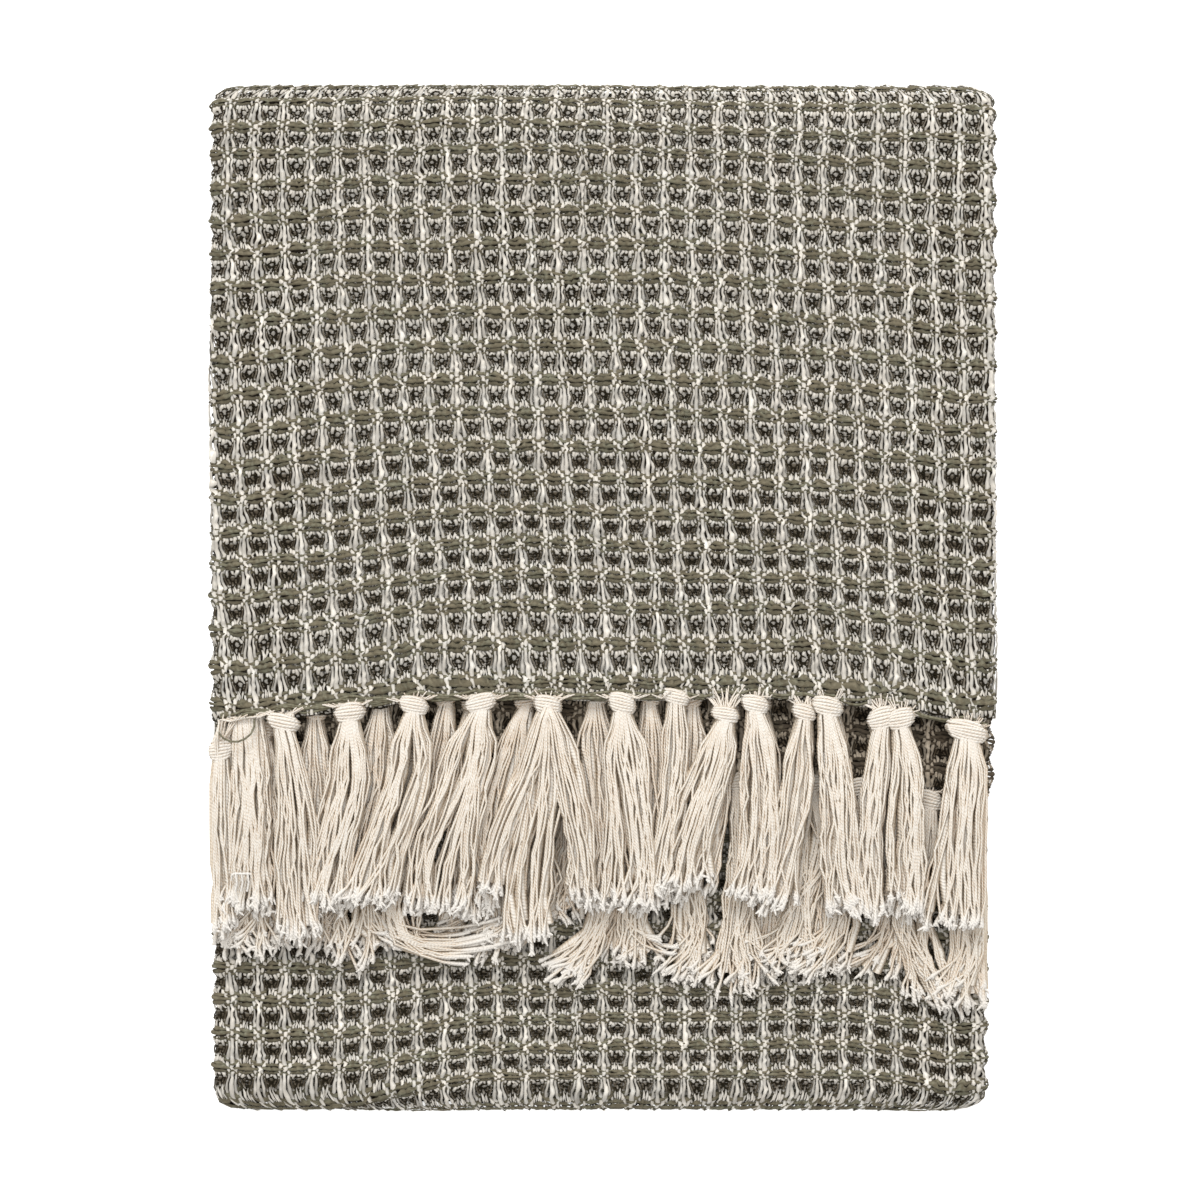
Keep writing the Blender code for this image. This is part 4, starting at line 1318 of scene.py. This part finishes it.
front_knots = np.array([tassel.knot_x / 1000 for tassel in TASSELS if tassel.row == "upper_front"])
rng = np.random.default_rng(31)
loose = []
for k in range(LOOSE_PICKS):
    last_x = rng.uniform(0.01, 0.06) if k < SHORT_PICKS else 0.2081
    x = np.arange(-0.2080, last_x, LOOSE_PICK_STEP) + rng.uniform(0, 0.001)
    x = np.clip(x, -GATHERED_EDGE_X, GATHERED_EDGE_X)
    to_knot = np.abs(x[:, None] - front_knots).min(axis=1)
    sag = SAG * rng.uniform(0.4, 1.3) * smooth(to_knot / SAG_REACH)
    stray = 0.0007 * np.sin(x * rng.uniform(90, 260) + rng.uniform(0, 6.3))
    y = cloth_edge("upper", x) + 0.0018 - LOOSE_PICK_PITCH * (k % SHORT_PICKS) - sag + stray
    z = UPPER_END_Z + PLY_PITCH + 0.0012 + 0.0006 * np.sin(x * 300 + k) + 0.0008 * (k % 2)
    line = np.stack(settle(x, y, z), axis=1)
    loose.append(Thread(line, np.full(len(x), LOOSE_PICK_RADIUS), np.zeros(len(x)), 0.5, False))
loop = np.array([
    (-0.1890, -0.0640, 0.0500), (-0.1888, -0.0686, 0.0535), (-0.1903, -0.0724, 0.0550),
    (-0.1933, -0.0750, 0.0555), (-0.1971, -0.0767, 0.0555), (-0.2014, -0.0767, 0.0550),
    (-0.2052, -0.0750, 0.0540), (-0.2080, -0.0722, 0.0515),
])
loose.append(Thread(loop, np.full(len(loop), LOOP_RADIUS), np.zeros(len(loop)), 0.5, False))
last_picks = swept_threads("last_picks", loose, loose_pick_cotton())
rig.ride(last_picks, "root")
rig.slot(last_picks, "waffle_cotton")

# The sheet is declared here, where all the pieces that are one cloth with it have been made.
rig.sheet(
    sheet, flat=(FLAT_WIDTH, FLAT_LENGTH), held="folded", rests_on=["floor"],
    with_pieces=[*yarns_on_sheet, last_picks],
)

# ---------------------------------------------------------------------------------------------
# Floor, light and camera: a plain near-white surface, soft light from above with a little more
# from the top edge, and a long lens straight above the blanket.

floor_mesh = bpy.data.meshes.new("floor")
floor_mesh.from_pydata([(-6, -6, 0), (6, -6, 0), (6, 6, 0), (-6, 6, 0)], [], [(0, 1, 2, 3)])
floor = in_scene("floor", floor_mesh)
floor.location.z = -0.0004
floor_finish = bpy.data.materials.new("floor_paper")
floor_finish.use_nodes = True
floor_shader = floor_finish.node_tree.nodes["Principled BSDF"]
floor_shader.inputs["Base Color"].default_value = (0.9, 0.9, 0.9, 1)
floor_shader.inputs["Roughness"].default_value = 0.9
floor_shader.inputs["Emission Color"].default_value = (1, 1, 1, 1)
floor_shader.inputs["Emission Strength"].default_value = 0.45
floor_mesh.materials.append(floor_finish)
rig.stage(floor)


def soft_light(name, place, size, power):
    """A square area light at place that faces the blanket."""
    lamp = bpy.data.lights.new(name, "AREA")
    lamp.size = size
    lamp.energy = power
    light = in_scene(name, lamp)
    light.location = place
    light.rotation_euler = (-light.location).to_track_quat("-Z", "Y").to_euler()


key = bpy.data.lights.new("light_from_top", "SUN")
key.energy = 2.45
key.angle = math.radians(28)
key_light = in_scene("light_from_top", key)
key_light.rotation_euler = (math.radians(-50), 0, math.radians(8))
soft_light("light_from_above", (0.0, 0.0, 3.2), 2.4, 44)
world = bpy.data.worlds.new("studio")
world.use_nodes = True
background = world.node_tree.nodes["Background"]
background.inputs["Color"].default_value = (1, 1, 1, 1)
background.inputs["Strength"].default_value = 0.64
bpy.context.scene.world = world
bpy.context.scene.view_settings.view_transform = "Standard"

# One pixel of the picture on the blanket, at the level of its top, sets the camera's distance.
PIXEL = 0.00054
PICTURE_SIDE = 1200
LENS = 120.0
SENSOR = 36.0
TOP_SURFACE_Z = 0.046
camera_data = bpy.data.cameras.new("camera")
camera_data.lens = LENS
camera_data.sensor_width = SENSOR
camera = in_scene("camera", camera_data)
distance = PIXEL * PICTURE_SIDE * LENS / SENSOR
camera.location = (-5 * PIXEL, -1 * PIXEL, TOP_SURFACE_Z + distance)
bpy.context.scene.camera = camera

bpy.context.view_layer.update()
low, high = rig.bounds()
with open("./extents.json", "w") as size_file:
    json.dump({"cad": [list(cad_low), list(cad_high)], "visual": [list(low), list(high)]}, size_file)
